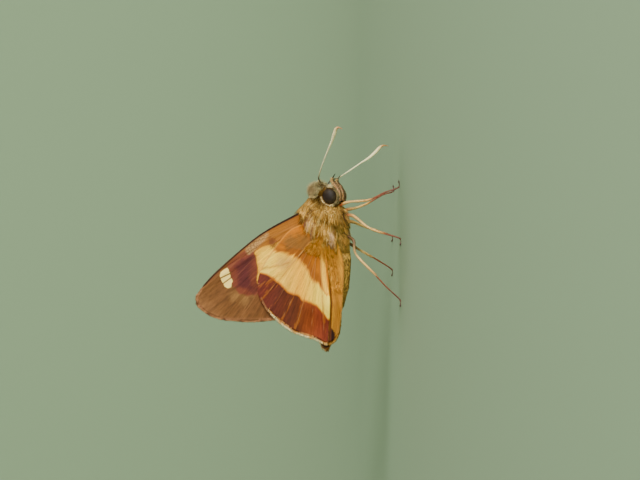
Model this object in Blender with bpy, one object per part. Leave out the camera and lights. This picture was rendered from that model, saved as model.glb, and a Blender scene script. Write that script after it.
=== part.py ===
"""Yellow-banded awl: a skipper butterfly standing with its wings closed over its back, at life size.

The butterfly faces +X and stands on its six feet at z = 0, with its right side towards -Y. Sizes are in
millimetres while the pieces are shaped; the last step turns them into metres and sets the whole animal
on the middle of its own footprint.
"""
import math

import bmesh
import bpy
import numpy as np
from mathutils import Matrix, Vector

# Driving dimensions, in millimetres
GAP = 0.3
MEMBRANE = 0.5
VEIN_HEIGHT = 0.11
VEIN_WIDTH = 0.5

# Where the wing plates stand, measured out from the middle plane of the body
FORE_CLEARANCE = 0.45
HIND_CLEARANCE = 1.36
FLANK_SPREAD = 0.75
TAIL_SPREAD = 1.0
ROOF_LOW = 12.5
ROOF_HIGH = 17.0

# The head: its middle, the way it faces, and the line from its right eye to its left one
HEAD_CENTRE = np.array([7.05, -0.25, 9.75])
FACING = (0.607, -0.455, -0.651)
EYE_LINE = (0.05, 0.84, -0.54)
EYE_SIZE = (1.1, 0.8, 1.2)
EYE_SPACING = 1.4
SKULL_CENTRE = (-0.25, 0.0, 0.35)
SKULL_SIZE = (1.25, 1.45, 1.75)
CROWN_CENTRE = np.array([7.95, 0.0, 12.15])
CROWN_SIZE = (1.35, 1.9, 1.65)

# Thorax stations from neck to waist: x, underside, back and half width
THORAX = np.array([
    [7.15, 11.3, 13.1, 0.55],
    [6.7, 10.0, 13.9, 1.05],
    [6.2, 8.9, 14.4, 1.6],
    [5.6, 8.0, 14.8, 2.15],
    [5.0, 7.5, 15.0, 2.45],
    [4.2, 7.3, 15.1, 2.55],
    [2.2, 7.2, 14.9, 2.55],
    [0.4, 7.1, 14.3, 2.5],
    [-0.9, 7.2, 13.2, 2.25],
    [-1.6, 7.7, 12.3, 1.9],
    [-1.9, 8.4, 11.3, 1.2],
])
THORAX_RINGS = 19
SHOULDER_BACK = 4.7
SHOULDER_FRONT = 5.4
SHOULDER_FREEDOM = 6.0
WING_CHANGE_LOW = 11.2
WING_CHANGE_HIGH = 11.9

# Abdomen stations from waist to tip, in the same columns
ABDOMEN = np.array([
    [-1.6, 8.4, 10.6, 0.9],
    [-2.2, 7.0, 11.3, 1.8],
    [-4.4, 7.1, 11.4, 1.8],
    [-6.6, 7.3, 11.2, 1.75],
    [-8.3, 7.8, 10.6, 1.4],
    [-9.2, 8.2, 10.0, 0.95],
    [-9.7, 8.7, 9.5, 0.45],
])
ABDOMEN_SEGMENTS = 8
SEGMENT_STEP = 0.04
END_BULGE = 0.12

# Locks of long hair that stream back from the shoulders, with the x of each row's roots and its length
LOCK_ROWS = ((6.3, 2.4), (5.6, 3.2), (5.0, 4.2))
LOCK_WIDTH = 1.2
LOCK_THICKNESS = 0.32
LOCK_ROOT_DEPTH = 0.4
LOCK_RISE = 0.42
LOCK_SHORTEST = 0.9
LOCK_ANGLES = (-30.0, -12.0, 6.0, 24.0, 42.0, 62.0, 84.0)
LOCK_STAGGER = 0.15
ROW_TURN = 6.0
WING_GAP = 0.45
LOW_ANGLE = -34.0
LOW_ROOTS = (4.4, 3.1, 2.0)
BELLY_ROOTS = (5.0, 3.7, 2.4, 1.1)
BELLY_LENGTH = 1.9
BELLY_WIDTH = 0.75

# Short locks of the crown, combed back over the top of the head
CROWN_ROWS = ((9.0, 1.35), (8.45, 0.95))
CROWN_ANGLES = (25.0, 57.0, 90.0, 123.0, 155.0)
CROWN_LOCK_WIDTH = 0.85
CROWN_LOCK_RISE = 0.32

# Wing outlines as x and z, from the front of the root round the tip and back to the rear of the root
FORE_MARGIN = np.array([
    [4.46, 15.2], [2.2, 19.35], [0.0, 22.5], [-4.9, 28.0], [-8.1, 30.65], [-9.3, 30.95], [-10.3, 30.5],
    [-11.8, 28.0], [-12.4, 23.8], [-12.25, 20.0], [-11.6, 17.9], [-7.5, 15.9], [0.0, 13.1], [2.4, 12.3],
])
FORE_ROOT = np.array([[4.3, 14.3], [2.9, 12.7]])
FORE_VEINS = (0.17, 0.29, 0.375, 0.425, 0.475, 0.525, 0.575, 0.64, 0.74)
HIND_MARGIN = np.array([
    [3.0, 13.4], [2.0, 16.35], [-0.7, 18.75], [-4.1, 20.95], [-7.2, 21.55], [-9.6, 20.75],
    [-11.8, 19.15], [-14.0, 16.3], [-15.2, 12.9], [-16.0, 11.0], [-15.5, 9.7], [-13.6, 8.95],
    [-8.0, 8.45], [-3.6, 8.3], [0.2, 9.3],
])
HIND_ROOT = np.array([[2.7, 12.5], [1.6, 10.6]])
HIND_VEINS = (0.13, 0.235, 0.295, 0.345, 0.395, 0.445, 0.505, 0.565, 0.615)
HIND_BENDS = (0.652, 0.697)
WING_ROWS = 9
OUTLINE_SAMPLES = 24
RIDGE_AT_ENDS = 0.35

# The left forewing stands a little ahead of the right one, and the left hindwing a little behind, where
# its rear corner is drawn out into a narrow lobe
LEFT_FORE_LEAD = 0.02
LEFT_HIND_LEAD = -0.02
LEFT_LOBE_LENGTH = 1.2
LOBE_HEIGHT = 11.4
LOBE_HALF_WIDTH = 0.75

# Antennae from socket to hooked tip
ANTENNA_RIGHT = np.array([
    [8.5, -0.1, 11.5], [9.55, -0.95, 12.1], [10.3, -1.5, 12.1], [12.1, -2.9, 11.6], [13.65, -4.1, 11.05],
    [15.2, -5.2, 10.45], [16.2, -5.9, 10.15], [17.0, -6.4, 9.9], [17.2, -6.7, 9.5], [16.95, -7.0, 9.0],
])
ANTENNA_LEFT = np.array([
    [8.7, 1.1, 10.65], [9.5, 1.3, 10.1], [9.95, 1.8, 8.85], [10.85, 2.4, 7.4], [12.25, 3.2, 5.3],
    [13.1, 3.7, 3.95], [14.0, 4.1, 2.9], [14.8, 4.4, 2.15], [15.1, 4.6, 1.5], [15.0, 4.9, 0.75],
])
ANTENNA_RADII = (0.27, 0.25, 0.25, 0.25, 0.25, 0.29, 0.33, 0.3, 0.2, 0.08)

# Palps in the head's own directions: forward, left and up
PALP_PATH = (
    (0.55, 0.5, -1.35), (1.2, 0.5, -0.5), (1.45, 0.5, 0.5), (1.5, 0.55, 1.6), (2.0, 0.6, 1.95),
    (2.6, 0.65, 2.1),
)
PALP_RADII = (0.34, 0.42, 0.44, 0.4, 0.25, 0.1)
PALP_LIFT = {"right": 0.35, "left": -0.05}

# Legs from inside the thorax to the end of the foot, with the tube's radius at each point
FOOT = 0.19
LEG_RADII = (0.5, 0.42, 0.34, 0.3, 0.27, 0.25, 0.22)
LEGS = {
    "leg_fore_right": (
        (5.6, -0.9, 9.2), (6.1, -1.5, 7.6), (6.4, -2.7, 4.6), (7.5, -3.3, 2.3), (8.3, -3.6, FOOT),
        (9.3, -3.8, FOOT)),
    "leg_fore_left": (
        (4.9, 0.9, 8.6), (5.2, 1.6, 6.4), (6.0, 2.9, 4.2), (7.3, 3.5, 1.9), (7.9, 3.8, FOOT),
        (8.8, 4.1, FOOT)),
    "leg_mid_right": (
        (4.0, -1.2, 8.6), (3.9, -2.0, 6.9), (2.2, -4.0, 4.8), (1.3, -4.9, 2.6), (0.5, -5.4, FOOT),
        (-0.5, -5.8, FOOT)),
    "leg_mid_left": (
        (3.2, 1.2, 8.6), (3.1, 2.0, 6.8), (2.4, 4.1, 4.7), (1.7, 5.0, 2.4), (0.9, 5.5, FOOT),
        (0.0, 5.9, FOOT)),
    "leg_hind_right": (
        (1.0, -1.5, 8.6), (0.2, -2.4, 6.9), (-1.9, -3.3, 6.6), (-4.8, -4.8, 4.0), (-6.8, -5.3, 2.2),
        (-8.8, -5.6, FOOT), (-9.8, -5.8, FOOT)),
    "leg_hind_left": (
        (0.4, 1.3, 8.4), (-0.6, 2.2, 6.6), (-1.4, 3.5, 5.2), (-2.8, 5.0, 2.6), (-4.4, 5.7, FOOT),
        (-5.4, 6.0, FOOT)),
}

# Mesh finish
END_DOME = 0.4
MERGE = 0.002
SHARP_ANGLE = 50.0
METRES = 0.001


def head_axes():
    """The head's own directions as rows: forward, left and up, square to each other."""
    forward = np.array(FACING) / np.linalg.norm(FACING)
    left = np.array(EYE_LINE) - forward * np.dot(EYE_LINE, forward)
    left = left / np.linalg.norm(left)
    return np.array([forward, left, np.cross(forward, left)])


HEAD_AXES = head_axes()


def smooth_step(value, low, high):
    """Goes from 0 at low to 1 at high, level at both ends."""
    part = np.clip((value - low) / (high - low), 0.0, 1.0)
    return part * part * (3.0 - 2.0 * part)


def spread(x, z):
    """How far the closed wings are pushed out by the body between them."""
    along = TAIL_SPREAD * smooth_step(x, -14.0, -9.0) + FLANK_SPREAD * smooth_step(x, -4.5, 1.0)
    return along * (1.0 - smooth_step(z, ROOF_LOW, ROOF_HIGH))


def fore_plane(x, z):
    """Distance of the middle of a forewing's membrane from the body's middle plane."""
    return FORE_CLEARANCE + spread(x, z)


def hind_plane(x, z):
    """Distance of the middle of a hindwing's membrane, which lies outside the forewing's."""
    return HIND_CLEARANCE + spread(x, z)


def curve_through(points, samples):
    """A smooth curve through the points, with the same number of samples in each span."""
    points = np.asarray(points, dtype=float)
    padded = np.vstack([2.0 * points[0] - points[1], points, 2.0 * points[-1] - points[-2]])
    spans = []
    for i in range(len(points) - 1):
        a, b, c, d = padded[i:i + 4]
        t = np.linspace(0.0, 1.0, samples, endpoint=False)[:, None]
        spans.append(0.5 * (2.0 * b + (c - a) * t + (2.0 * a - 5.0 * b + 4.0 * c - d) * t ** 2
                            + (3.0 * b - a - 3.0 * c + d) * t ** 3))
    return np.vstack(spans + [points[-1:]])


def material(name, colour, roughness):
    """A Principled material with one colour."""
    made = bpy.data.materials.new(name)
    made.use_nodes = True
    shader = made.node_tree.nodes["Principled BSDF"]
    shader.inputs["Base Color"].default_value = (*colour, 1.0)
    shader.inputs["Roughness"].default_value = roughness
    return made


def mesh_object(name, verts, faces, finish=None):
    """An object from points in millimetres, as loose triangles joined into one closed skin."""
    mesh = bpy.data.meshes.new(name)
    mesh.from_pydata([tuple(map(float, v)) for v in verts], [], faces)
    shape = bmesh.new()
    shape.from_mesh(mesh)
    bmesh.ops.triangulate(shape, faces=shape.faces)
    bmesh.ops.recalc_face_normals(shape, faces=shape.faces)
    shape.to_mesh(mesh)
    shape.free()
    made = bpy.data.objects.new(name, mesh)
    bpy.context.scene.collection.objects.link(made)
    if finish:
        mesh.materials.append(finish)
    return made


def ring_faces(rings, sides):
    """Faces between rings of points, with a fan to a pole at each end."""
    faces = []
    for ring in range(rings - 1):
        for side in range(sides):
            a = ring * sides + side
            b = ring * sides + (side + 1) % sides
            faces.append((a, b, b + sides, a + sides))
    last = (rings - 1) * sides
    start_pole = rings * sides
    for side in range(sides):
        following = (side + 1) % sides
        faces.append((following, side, start_pole))
        faces.append((last + side, last + following, start_pole + 1))
    return faces


def tube(path, radii, sides=8, floor=False):
    """A round tube carried along a path, closed by a low dome at each end."""
    path = np.asarray(path, dtype=float)
    ways = np.gradient(path, axis=0)
    ways /= np.linalg.norm(ways, axis=1)[:, None]
    side = np.cross(ways[0], [0.0, 0.0, 1.0])
    angles = np.linspace(0.0, 2.0 * math.pi, sides, endpoint=False)
    rings = []
    for point, way, radius in zip(path, ways, radii):
        side = side - way * np.dot(side, way)
        side /= np.linalg.norm(side)
        up = np.cross(side, way)
        rings.append(point + radius * (np.cos(angles)[:, None] * side + np.sin(angles)[:, None] * up))
    poles = [path[0] - ways[0] * radii[0] * END_DOME, path[-1] + ways[-1] * radii[-1] * END_DOME]
    verts = np.vstack(rings + [poles])
    if floor:
        verts[:, 2] = np.maximum(verts[:, 2], 0.0)
    return verts, ring_faces(len(path), sides)


def ellipsoid(centre, axes, sizes, grow=0.0, sides=18, rings=11):
    """A ball stretched along three axes."""
    polar = np.linspace(0.0, math.pi, rings + 2)[1:-1]
    turn = np.linspace(0.0, 2.0 * math.pi, sides, endpoint=False)
    polar, turn = np.meshgrid(polar, turn, indexing="ij")
    local = np.stack([np.sin(polar) * np.cos(turn), np.sin(polar) * np.sin(turn), np.cos(polar)], axis=-1)
    local = np.vstack([local.reshape(-1, 3), [[0.0, 0.0, 1.0], [0.0, 0.0, -1.0]]])
    verts = centre + (local * (np.array(sizes) + grow)) @ axes
    return verts, ring_faces(rings, sides)


def section(stations, x):
    """Height of the middle, half height and half width of a body at x."""
    order = np.argsort(stations[:, 0])
    ways = stations[order]
    middle = np.interp(x, ways[:, 0], 0.5 * (ways[:, 1] + ways[:, 2]))
    tall = np.interp(x, ways[:, 0], 0.5 * (ways[:, 2] - ways[:, 1]))
    return middle, tall, np.interp(x, ways[:, 0], ways[:, 3])


def body_form(stations, count, limit, grow=0.0, steps=0, sides=22):
    """A body carried through its stations, each an ellipse that the wings beside it press in."""
    along = np.linspace(0.0, 1.0, count)
    x = np.interp(along, np.linspace(0.0, 1.0, len(stations)), stations[:, 0])
    middle, tall, wide = section(stations, x)
    tall = tall + grow
    wide = wide + grow
    if steps:
        swell = 1.0 - SEGMENT_STEP * np.mod(along * steps, 1.0)
        tall = tall * swell
        wide = wide * swell
    turn = np.linspace(0.0, 2.0 * math.pi, sides, endpoint=False) + math.pi / sides
    rings_x = np.repeat(x[:, None], sides, axis=1)
    rings_z = middle[:, None] + tall[:, None] * np.sin(turn)
    rings_y = wide[:, None] * np.cos(turn)
    widest = limit(rings_x, rings_z) + grow
    rings_y = np.clip(rings_y, -widest, widest)
    verts = np.stack([rings_x, rings_y, rings_z], axis=-1).reshape(-1, 3)
    ends = [[x[0] + END_BULGE + grow, 0.0, middle[0]], [x[-1] - END_BULGE - grow, 0.0, middle[-1]]]
    return np.vstack([verts, ends]), ring_faces(count, sides)


def thorax_limit(x, z):
    """Half width that leaves the wings their gap: the forewing high up, the hindwing below it."""
    under = 1.0 - smooth_step(z, WING_CHANGE_LOW, WING_CHANGE_HIGH)
    beside = fore_plane(x, z) + (HIND_CLEARANCE - FORE_CLEARANCE) * under
    free = SHOULDER_FREEDOM * smooth_step(x, SHOULDER_BACK, SHOULDER_FRONT)
    return beside - 0.5 * MEMBRANE - GAP + free


def abdomen_limit(x, z):
    """Half width that leaves the hindwings their gap."""
    return hind_plane(x, z) - 0.5 * MEMBRANE - GAP


def select_only(chosen):
    """Makes one object the active one."""
    for other in bpy.context.selected_objects:
        other.select_set(False)
    chosen.select_set(True)
    bpy.context.view_layer.objects.active = chosen


def apply_boolean(target, operation, pieces):
    """Joins or cuts the target with closed pieces, and removes them."""
    group = bpy.data.collections.new("pieces")
    for piece in pieces:
        bpy.context.scene.collection.objects.unlink(piece)
        group.objects.link(piece)
    step = target.modifiers.new(operation, "BOOLEAN")
    step.operation = operation
    step.operand_type = "COLLECTION"
    step.collection = group
    step.solver = "EXACT"
    select_only(target)
    bpy.ops.object.modifier_apply(modifier=step.name)
    for piece in pieces:
        bpy.data.objects.remove(piece)
    bpy.data.collections.remove(group)


def cut(target, pieces):
    """Takes each piece away from the target, one after another."""
    for piece in pieces:
        apply_boolean(target, "DIFFERENCE", [piece])


def keep_largest(target):
    """Keeps the largest closed surface of an object, as clean triangles."""
    shape = bmesh.new()
    shape.from_mesh(target.data)
    bmesh.ops.remove_doubles(shape, verts=shape.verts, dist=MERGE)
    bmesh.ops.dissolve_degenerate(shape, edges=shape.edges, dist=MERGE)
    bmesh.ops.triangulate(shape, faces=shape.faces)
    unseen = set(shape.verts)
    groups = []
    while unseen:
        found = {unseen.pop()}
        reached = list(found)
        while reached:
            here = reached.pop()
            for edge in here.link_edges:
                other = edge.other_vert(here)
                if other in unseen:
                    unseen.remove(other)
                    found.add(other)
                    reached.append(other)
        groups.append(found)
    groups.sort(key=len)
    loose = [vert for group in groups[:-1] for vert in group]
    bmesh.ops.delete(shape, geom=loose, context="VERTS")
    bmesh.ops.recalc_face_normals(shape, faces=shape.faces)
    shape.to_mesh(target.data)
    shape.free()


def lock(path, outward, width, thickness):
    """A flat, tapered lock of hair: a diamond section carried along its path to a pointed tip."""
    path = np.asarray(path, dtype=float)
    ways = np.gradient(path, axis=0)
    ways /= np.linalg.norm(ways, axis=1)[:, None]
    across = np.cross(ways, outward)
    across /= np.linalg.norm(across, axis=1)[:, None]
    up = np.cross(across, ways)
    fullness = np.sqrt(np.clip(1.0 - np.linspace(0.0, 1.0, len(path)) ** 2.0, 0.0, 1.0))[:-1, None]
    rings = []
    for turn in (0.0, 0.5 * math.pi, math.pi, 1.5 * math.pi):
        sideways = 0.5 * width * math.cos(turn) * across[:-1] * fullness
        upwards = 0.5 * thickness * math.sin(turn) * up[:-1] * fullness
        rings.append(path[:-1] + sideways + upwards)
    verts = np.vstack([np.stack(rings, axis=1).reshape(-1, 3), path[:1], path[-1:]])
    return mesh_object("lock", verts, ring_faces(len(path) - 1, 4))


def wing_front(z):
    """How far forward the wing roots come at height z, from the hindwing's lower edge up to the forewing."""
    edge = np.array([HIND_MARGIN[-1], HIND_ROOT[1], HIND_ROOT[0], FORE_ROOT[1], FORE_ROOT[0], FORE_MARGIN[0]])
    return np.interp(z, edge[:, 1], edge[:, 0])


def thorax_lock(root, length, angle, side, width=LOCK_WIDTH):
    """A lock rooted in the thorax at x = root and an angle up from the flank, combed straight back.

    It rises slowly out of the coat and ends before the wings; None where there is no room for it.
    """
    turn = math.radians(angle)
    middle, tall, _ = section(THORAX, root)
    top = middle + tall * math.sin(turn) + 0.5 * width * math.cos(turn)
    length = min(length, root - wing_front(top) - WING_GAP)
    if length < LOCK_SHORTEST:
        return None
    x = root - length * np.array([0.0, 0.3, 0.6, 0.85, 1.0])
    middle, tall, wide = section(THORAX, x)
    rise = LOCK_RISE * np.sqrt((root - x) / length) - LOCK_ROOT_DEPTH * (x == root)
    y = (wide + rise) * math.cos(turn)
    z = middle + (tall + rise) * math.sin(turn)
    outward = np.array([0.0, side * math.cos(turn), math.sin(turn)])
    return lock(np.stack([x, side * y, z], axis=1), outward, width, LOCK_THICKNESS)


def thorax_locks():
    """The long hair of the thorax: tiers from the shoulders, a low tier by the legs and one on the belly."""
    made = []
    for side in (-1.0, 1.0):
        for row, (root, length) in enumerate(LOCK_ROWS):
            for i, angle in enumerate(LOCK_ANGLES):
                start = root + LOCK_STAGGER * (i % 2)
                made.append(thorax_lock(start, length, angle + ROW_TURN * (row % 2), side))
        for root in LOW_ROOTS:
            made.append(thorax_lock(root, BELLY_LENGTH, LOW_ANGLE, side, BELLY_WIDTH))
    for root in BELLY_ROOTS:
        made.append(thorax_lock(root, BELLY_LENGTH, -90.0, 1.0, BELLY_WIDTH))
    return [piece for piece in made if piece]


def crown_locks():
    """Short locks over the crown, from above the face towards the nape."""
    made = []
    for row, (root, length) in enumerate(CROWN_ROWS):
        for angle in CROWN_ANGLES:
            turn = math.radians(angle + 10.0 * row)
            x = root - length * np.array([0.0, 0.35, 0.7, 1.0])
            ring = np.sqrt(np.clip(1.0 - ((x - CROWN_CENTRE[0]) / CROWN_SIZE[0]) ** 2, 0.0, 1.0))
            rise = CROWN_LOCK_RISE * (root - x) / length - LOCK_ROOT_DEPTH * (x == root)
            y = (CROWN_SIZE[1] * ring + rise) * math.cos(turn)
            z = (CROWN_SIZE[2] * ring + rise) * math.sin(turn)
            outward = np.array([0.0, math.cos(turn), math.sin(turn)])
            path = CROWN_CENTRE + np.stack([x - CROWN_CENTRE[0], y, z], axis=1)
            made.append(lock(path, outward, CROWN_LOCK_WIDTH, LOCK_THICKNESS))
    return made


def vein_stops(veins, half_vein, bends):
    """Where a wing's fan has its lines along the margin, and which of them are a vein's crest."""
    stops = [0.0, 0.6 * half_vein]
    raised = [1.0, 0.0]
    previous = 0.0
    for vein in veins:
        stops += [0.5 * (previous + vein), vein - half_vein, vein, vein + half_vein]
        raised += [0.0, 0.0, 1.0, 0.0]
        previous = vein
    stops += bends
    stops += [0.5 * (stops[-1] + 1.0), 1.0]
    raised += [0.0] * (len(bends) + 2)
    return np.array(stops), np.array(raised)


def wing(name, finish, side, margin, root, veins, plane, lead=0.0, lobe=0.0, bends=()):
    """A wing plate, fanned out from its root to its margin, with each main vein raised on its outer face."""
    outline = curve_through(margin, OUTLINE_SAMPLES)
    outline[:, 0] -= lobe * np.exp(-((outline[:, 1] - LOBE_HEIGHT) / LOBE_HALF_WIDTH) ** 4)
    turned = outline - root[0]
    outline = root[0] + np.stack([turned[:, 0] * math.cos(lead) + turned[:, 1] * math.sin(lead),
                                  turned[:, 1] * math.cos(lead) - turned[:, 0] * math.sin(lead)], axis=1)
    travelled = np.concatenate([[0.0], np.cumsum(np.linalg.norm(np.diff(outline, axis=0), axis=1))])
    total = travelled[-1]
    stops, raised = vein_stops(veins, 0.5 * VEIN_WIDTH / total, list(bends))
    edge = np.stack([np.interp(stops * total, travelled, outline[:, i]) for i in (0, 1)], axis=1)
    start = root[0] + (root[1] - root[0]) * np.linspace(0.0, 1.0, len(stops))[:, None]
    rows = np.linspace(0.0, 1.0, WING_ROWS + 1)
    spots = start[None] + (edge - start)[None] * rows[:, None, None]
    x = spots[..., 0]
    z = spots[..., 1]
    middle = plane(x, z)
    taper = RIDGE_AT_ENDS + (1.0 - RIDGE_AT_ENDS) * np.sin(math.pi * rows) ** 0.5
    ridge = VEIN_HEIGHT * raised[None] * taper[:, None]
    outer = np.stack([x, side * (middle + 0.5 * MEMBRANE + ridge), z], axis=-1).reshape(-1, 3)
    inner = np.stack([x, side * (middle - 0.5 * MEMBRANE), z], axis=-1).reshape(-1, 3)
    columns = len(stops)
    shift = len(outer)
    faces = []
    for row in range(WING_ROWS):
        for column in range(columns - 1):
            a = row * columns + column
            for tri in ((a, a + 1, a + columns + 1), (a, a + columns + 1, a + columns)):
                faces.append(tri)
                faces.append(tuple(shift + i for i in reversed(tri)))
    last = WING_ROWS * columns
    border = list(range(columns)) + [row * columns + columns - 1 for row in range(1, WING_ROWS + 1)]
    border += list(range(last + columns - 2, last - 1, -1))
    border += [row * columns for row in range(WING_ROWS - 1, 0, -1)]
    for here, there in zip(border, border[1:] + border[:1]):
        faces.append((there, here, here + shift))
        faces.append((there, here + shift, there + shift))
    return mesh_object(name, np.vstack([outer, inner]), faces, finish)


def head_point(forward, left, up):
    """A place given in the head's own directions."""
    return HEAD_CENTRE + np.array([forward, left, up]) @ HEAD_AXES


def skull(grow, name, finish=None):
    """The head's hard part."""
    return mesh_object(name, *ellipsoid(head_point(*SKULL_CENTRE), HEAD_AXES, SKULL_SIZE, grow), finish)


def crown(grow, name):
    """The brush of scales on top of the head and behind it."""
    return mesh_object(name, *ellipsoid(CROWN_CENTRE, np.eye(3), CROWN_SIZE, grow))


def eye(side, grow, name, finish=None):
    """One eye: a deep lens on the side of the head."""
    centre = head_point(0.0, side * EYE_SPACING, 0.0)
    return mesh_object(name, *ellipsoid(centre, HEAD_AXES, EYE_SIZE, grow), finish)


def palp(side, lift, grow, name, finish=None):
    """One palp, up the face and out to its thin last joint."""
    path = [head_point(f, side * s, u + lift * (u > 0.0)) for f, s, u in PALP_PATH]
    line = curve_through(path, 3)
    radii = np.interp(np.linspace(0.0, 1.0, len(line)), np.linspace(0.0, 1.0, len(path)), PALP_RADII) + grow
    return mesh_object(name, *tube(line, radii), finish)


def antenna(points, name, finish):
    """One antenna: a thin shaft, a slender club and a hooked point."""
    line = curve_through(points, 3)
    radii = np.interp(np.linspace(0.0, 1.0, len(line)), np.linspace(0.0, 1.0, len(points)), ANTENNA_RADII)
    return mesh_object(name, *tube(line, radii), finish)


def leg(points, name, finish):
    """One leg from hip to foot, flat under the foot."""
    line = curve_through(points, 4)
    radii = np.interp(np.linspace(0.0, 1.0, len(line)), np.linspace(0.0, 1.0, len(LEG_RADII)), LEG_RADII)
    return mesh_object(name, *tube(line, radii, floor=True), finish)


def thorax_form(grow, name, finish=None):
    """The thorax under its long hair."""
    return mesh_object(name, *body_form(THORAX, THORAX_RINGS, thorax_limit, grow), finish)


def abdomen_form(grow, name, finish=None):
    """The abdomen, stepped at each segment."""
    shape = body_form(ABDOMEN, 2 * ABDOMEN_SEGMENTS + 1, abdomen_limit, grow, ABDOMEN_SEGMENTS, 18)
    return mesh_object(name, *shape, finish)


for old in list(bpy.data.objects):
    bpy.data.objects.remove(old)

ochre_coat = material("ochre_coat", (0.48, 0.26, 0.06), 0.85)
abdomen_coat = material("abdomen_coat", (0.42, 0.24, 0.05), 0.85)
brown_scales = material("brown_scales", (0.22, 0.07, 0.03), 0.75)
banded_scales = material("banded_scales", (0.5, 0.26, 0.07), 0.75)
eye_lens = material("eye_lens", (0.012, 0.009, 0.008), 0.25)
leg_scales = material("leg_scales", (0.5, 0.26, 0.1), 0.7)
antenna_shell = material("antenna_shell", (0.6, 0.52, 0.3), 0.6)

SIDES = (("right", -1.0), ("left", 1.0))

head = skull(0.0, "head", ochre_coat)
apply_boolean(head, "UNION", [crown(0.0, "crown")] + crown_locks())
for word, side in SIDES:
    eye(side, 0.0, "eye_" + word, eye_lens)
    palp(side, PALP_LIFT[word], 0.0, "palp_" + word, ochre_coat)
    cut(head, [eye(side, GAP, "socket"), palp(side, PALP_LIFT[word], GAP, "groove")])
    cut(bpy.data.objects["palp_" + word], [eye(side, GAP, "socket")])
keep_largest(head)

thorax = thorax_form(0.0, "thorax", ochre_coat)
apply_boolean(thorax, "UNION", thorax_locks())
cut(thorax, [skull(GAP, "neck"), crown(GAP, "nape")])
for word, side in SIDES:
    cut(thorax, [eye(side, GAP, "socket")])
keep_largest(thorax)

abdomen = abdomen_form(0.0, "abdomen", abdomen_coat)
cut(abdomen, [thorax_form(GAP, "waist")])
keep_largest(abdomen)

for word, points in (("right", ANTENNA_RIGHT), ("left", ANTENNA_LEFT)):
    feeler = antenna(points, "antenna_" + word, antenna_shell)
    cut(feeler, [skull(GAP, "socket"), crown(GAP, "brush")])
    keep_largest(feeler)

for name, points in LEGS.items():
    limb = leg(points, name, leg_scales)
    cut(limb, [thorax_form(GAP, "hip"), skull(GAP, "chin")])
    keep_largest(limb)

for word, side in SIDES:
    left = word == "left"
    wing("forewing_" + word, brown_scales, side, FORE_MARGIN, FORE_ROOT, FORE_VEINS, fore_plane,
         lead=LEFT_FORE_LEAD if left else 0.0)
    wing("hindwing_" + word, banded_scales, side, HIND_MARGIN, HIND_ROOT, HIND_VEINS, hind_plane,
         lead=LEFT_HIND_LEAD if left else 0.0, lobe=LEFT_LOBE_LENGTH if left else 0.0, bends=HIND_BENDS)

# Millimetres become metres, and the animal is set on the middle of its footprint
nodes = [made for made in bpy.data.objects if made.type == "MESH"]
points = np.vstack([[vert.co for vert in made.data.vertices] for made in nodes])
low = points.min(axis=0)
high = points.max(axis=0)
butterfly = bpy.data.objects.new("butterfly", None)
bpy.context.scene.collection.objects.link(butterfly)
butterfly.location = Vector((-0.5 * (low[0] + high[0]), -0.5 * (low[1] + high[1]), -low[2])) * METRES
for made in nodes:
    made.data.transform(Matrix.Scale(METRES, 4))
    made.data.shade_smooth()
    made.data.set_sharp_from_angle(angle=math.radians(SHARP_ANGLE))
    made.parent = butterfly
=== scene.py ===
"""Yellow-banded awl at life size, with its wings closed over its back: the finish of every surface.

The butterfly faces +X with its right side towards -Y. Shapes are worked out in millimetres in the
body's own plan, whose height starts at the soles, and then carried into the frame in metres.
"""
import math

import bpy
import numpy as np
from mathutils import Matrix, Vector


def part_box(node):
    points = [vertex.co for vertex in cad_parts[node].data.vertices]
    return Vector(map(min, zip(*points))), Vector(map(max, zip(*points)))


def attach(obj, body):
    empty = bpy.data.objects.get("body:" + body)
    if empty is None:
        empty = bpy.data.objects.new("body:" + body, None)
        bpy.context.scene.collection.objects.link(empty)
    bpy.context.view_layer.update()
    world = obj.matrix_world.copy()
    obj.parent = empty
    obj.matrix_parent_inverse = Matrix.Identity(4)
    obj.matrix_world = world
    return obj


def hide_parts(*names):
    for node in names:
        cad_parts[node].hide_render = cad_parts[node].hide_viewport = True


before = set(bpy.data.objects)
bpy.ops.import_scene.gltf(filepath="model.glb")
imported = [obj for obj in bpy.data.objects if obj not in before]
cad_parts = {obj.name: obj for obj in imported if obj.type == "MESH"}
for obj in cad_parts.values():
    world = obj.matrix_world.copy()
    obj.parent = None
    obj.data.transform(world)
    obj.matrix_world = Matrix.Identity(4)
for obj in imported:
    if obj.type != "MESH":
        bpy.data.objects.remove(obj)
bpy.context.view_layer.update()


# The floor and the view
# A pale paper sweep: flat under the feet, then curved up into a wall. The camera looks at the right
# side from a little above the floor, rolled so that the head is up and the floor is on the right.
FLOOR_BACK = 60.0
SWEEP_RADIUS = 260.0
WALL_HEIGHT = 520.0
FLOOR_FRONT = -500.0
FLOOR_HALF_WIDTH = 500.0
FLOOR_DROP = 0.02
VIEW_MIDDLE = np.array([0.277, 0.0, 11.875])
VIEW_RISE = math.radians(4.0)
VIEW_DISTANCE = 287.2
LENS = 105.0
SENSOR = 36.0

# The head's own directions, from the way it faces and the line from its right eye to its left one
HEAD_CENTRE = np.array([7.05, -0.25, 9.75])
EYE_SPACING = 1.4
FACING = np.array([0.607, -0.455, -0.651])
EYE_LINE = np.array([0.05, 0.84, -0.54])


def unit(ways):
    """Directions of length one: each way over the root of the sum of its squares."""
    return ways / (np.linalg.norm(ways, axis=-1, keepdims=True) + 1e-12)


head_forward = unit(FACING)
head_left = unit(EYE_LINE - head_forward * np.dot(EYE_LINE, head_forward))
HEAD_AXES = np.array([head_forward, head_left, np.cross(head_forward, head_left)])

# The right eye's middle, known in both, carries the plan into the frame
eye_low, eye_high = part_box("eye_right")
PLAN_SHIFT = 500.0 * np.array(eye_low + eye_high) - (HEAD_CENTRE - EYE_SPACING * HEAD_AXES[1])


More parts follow.
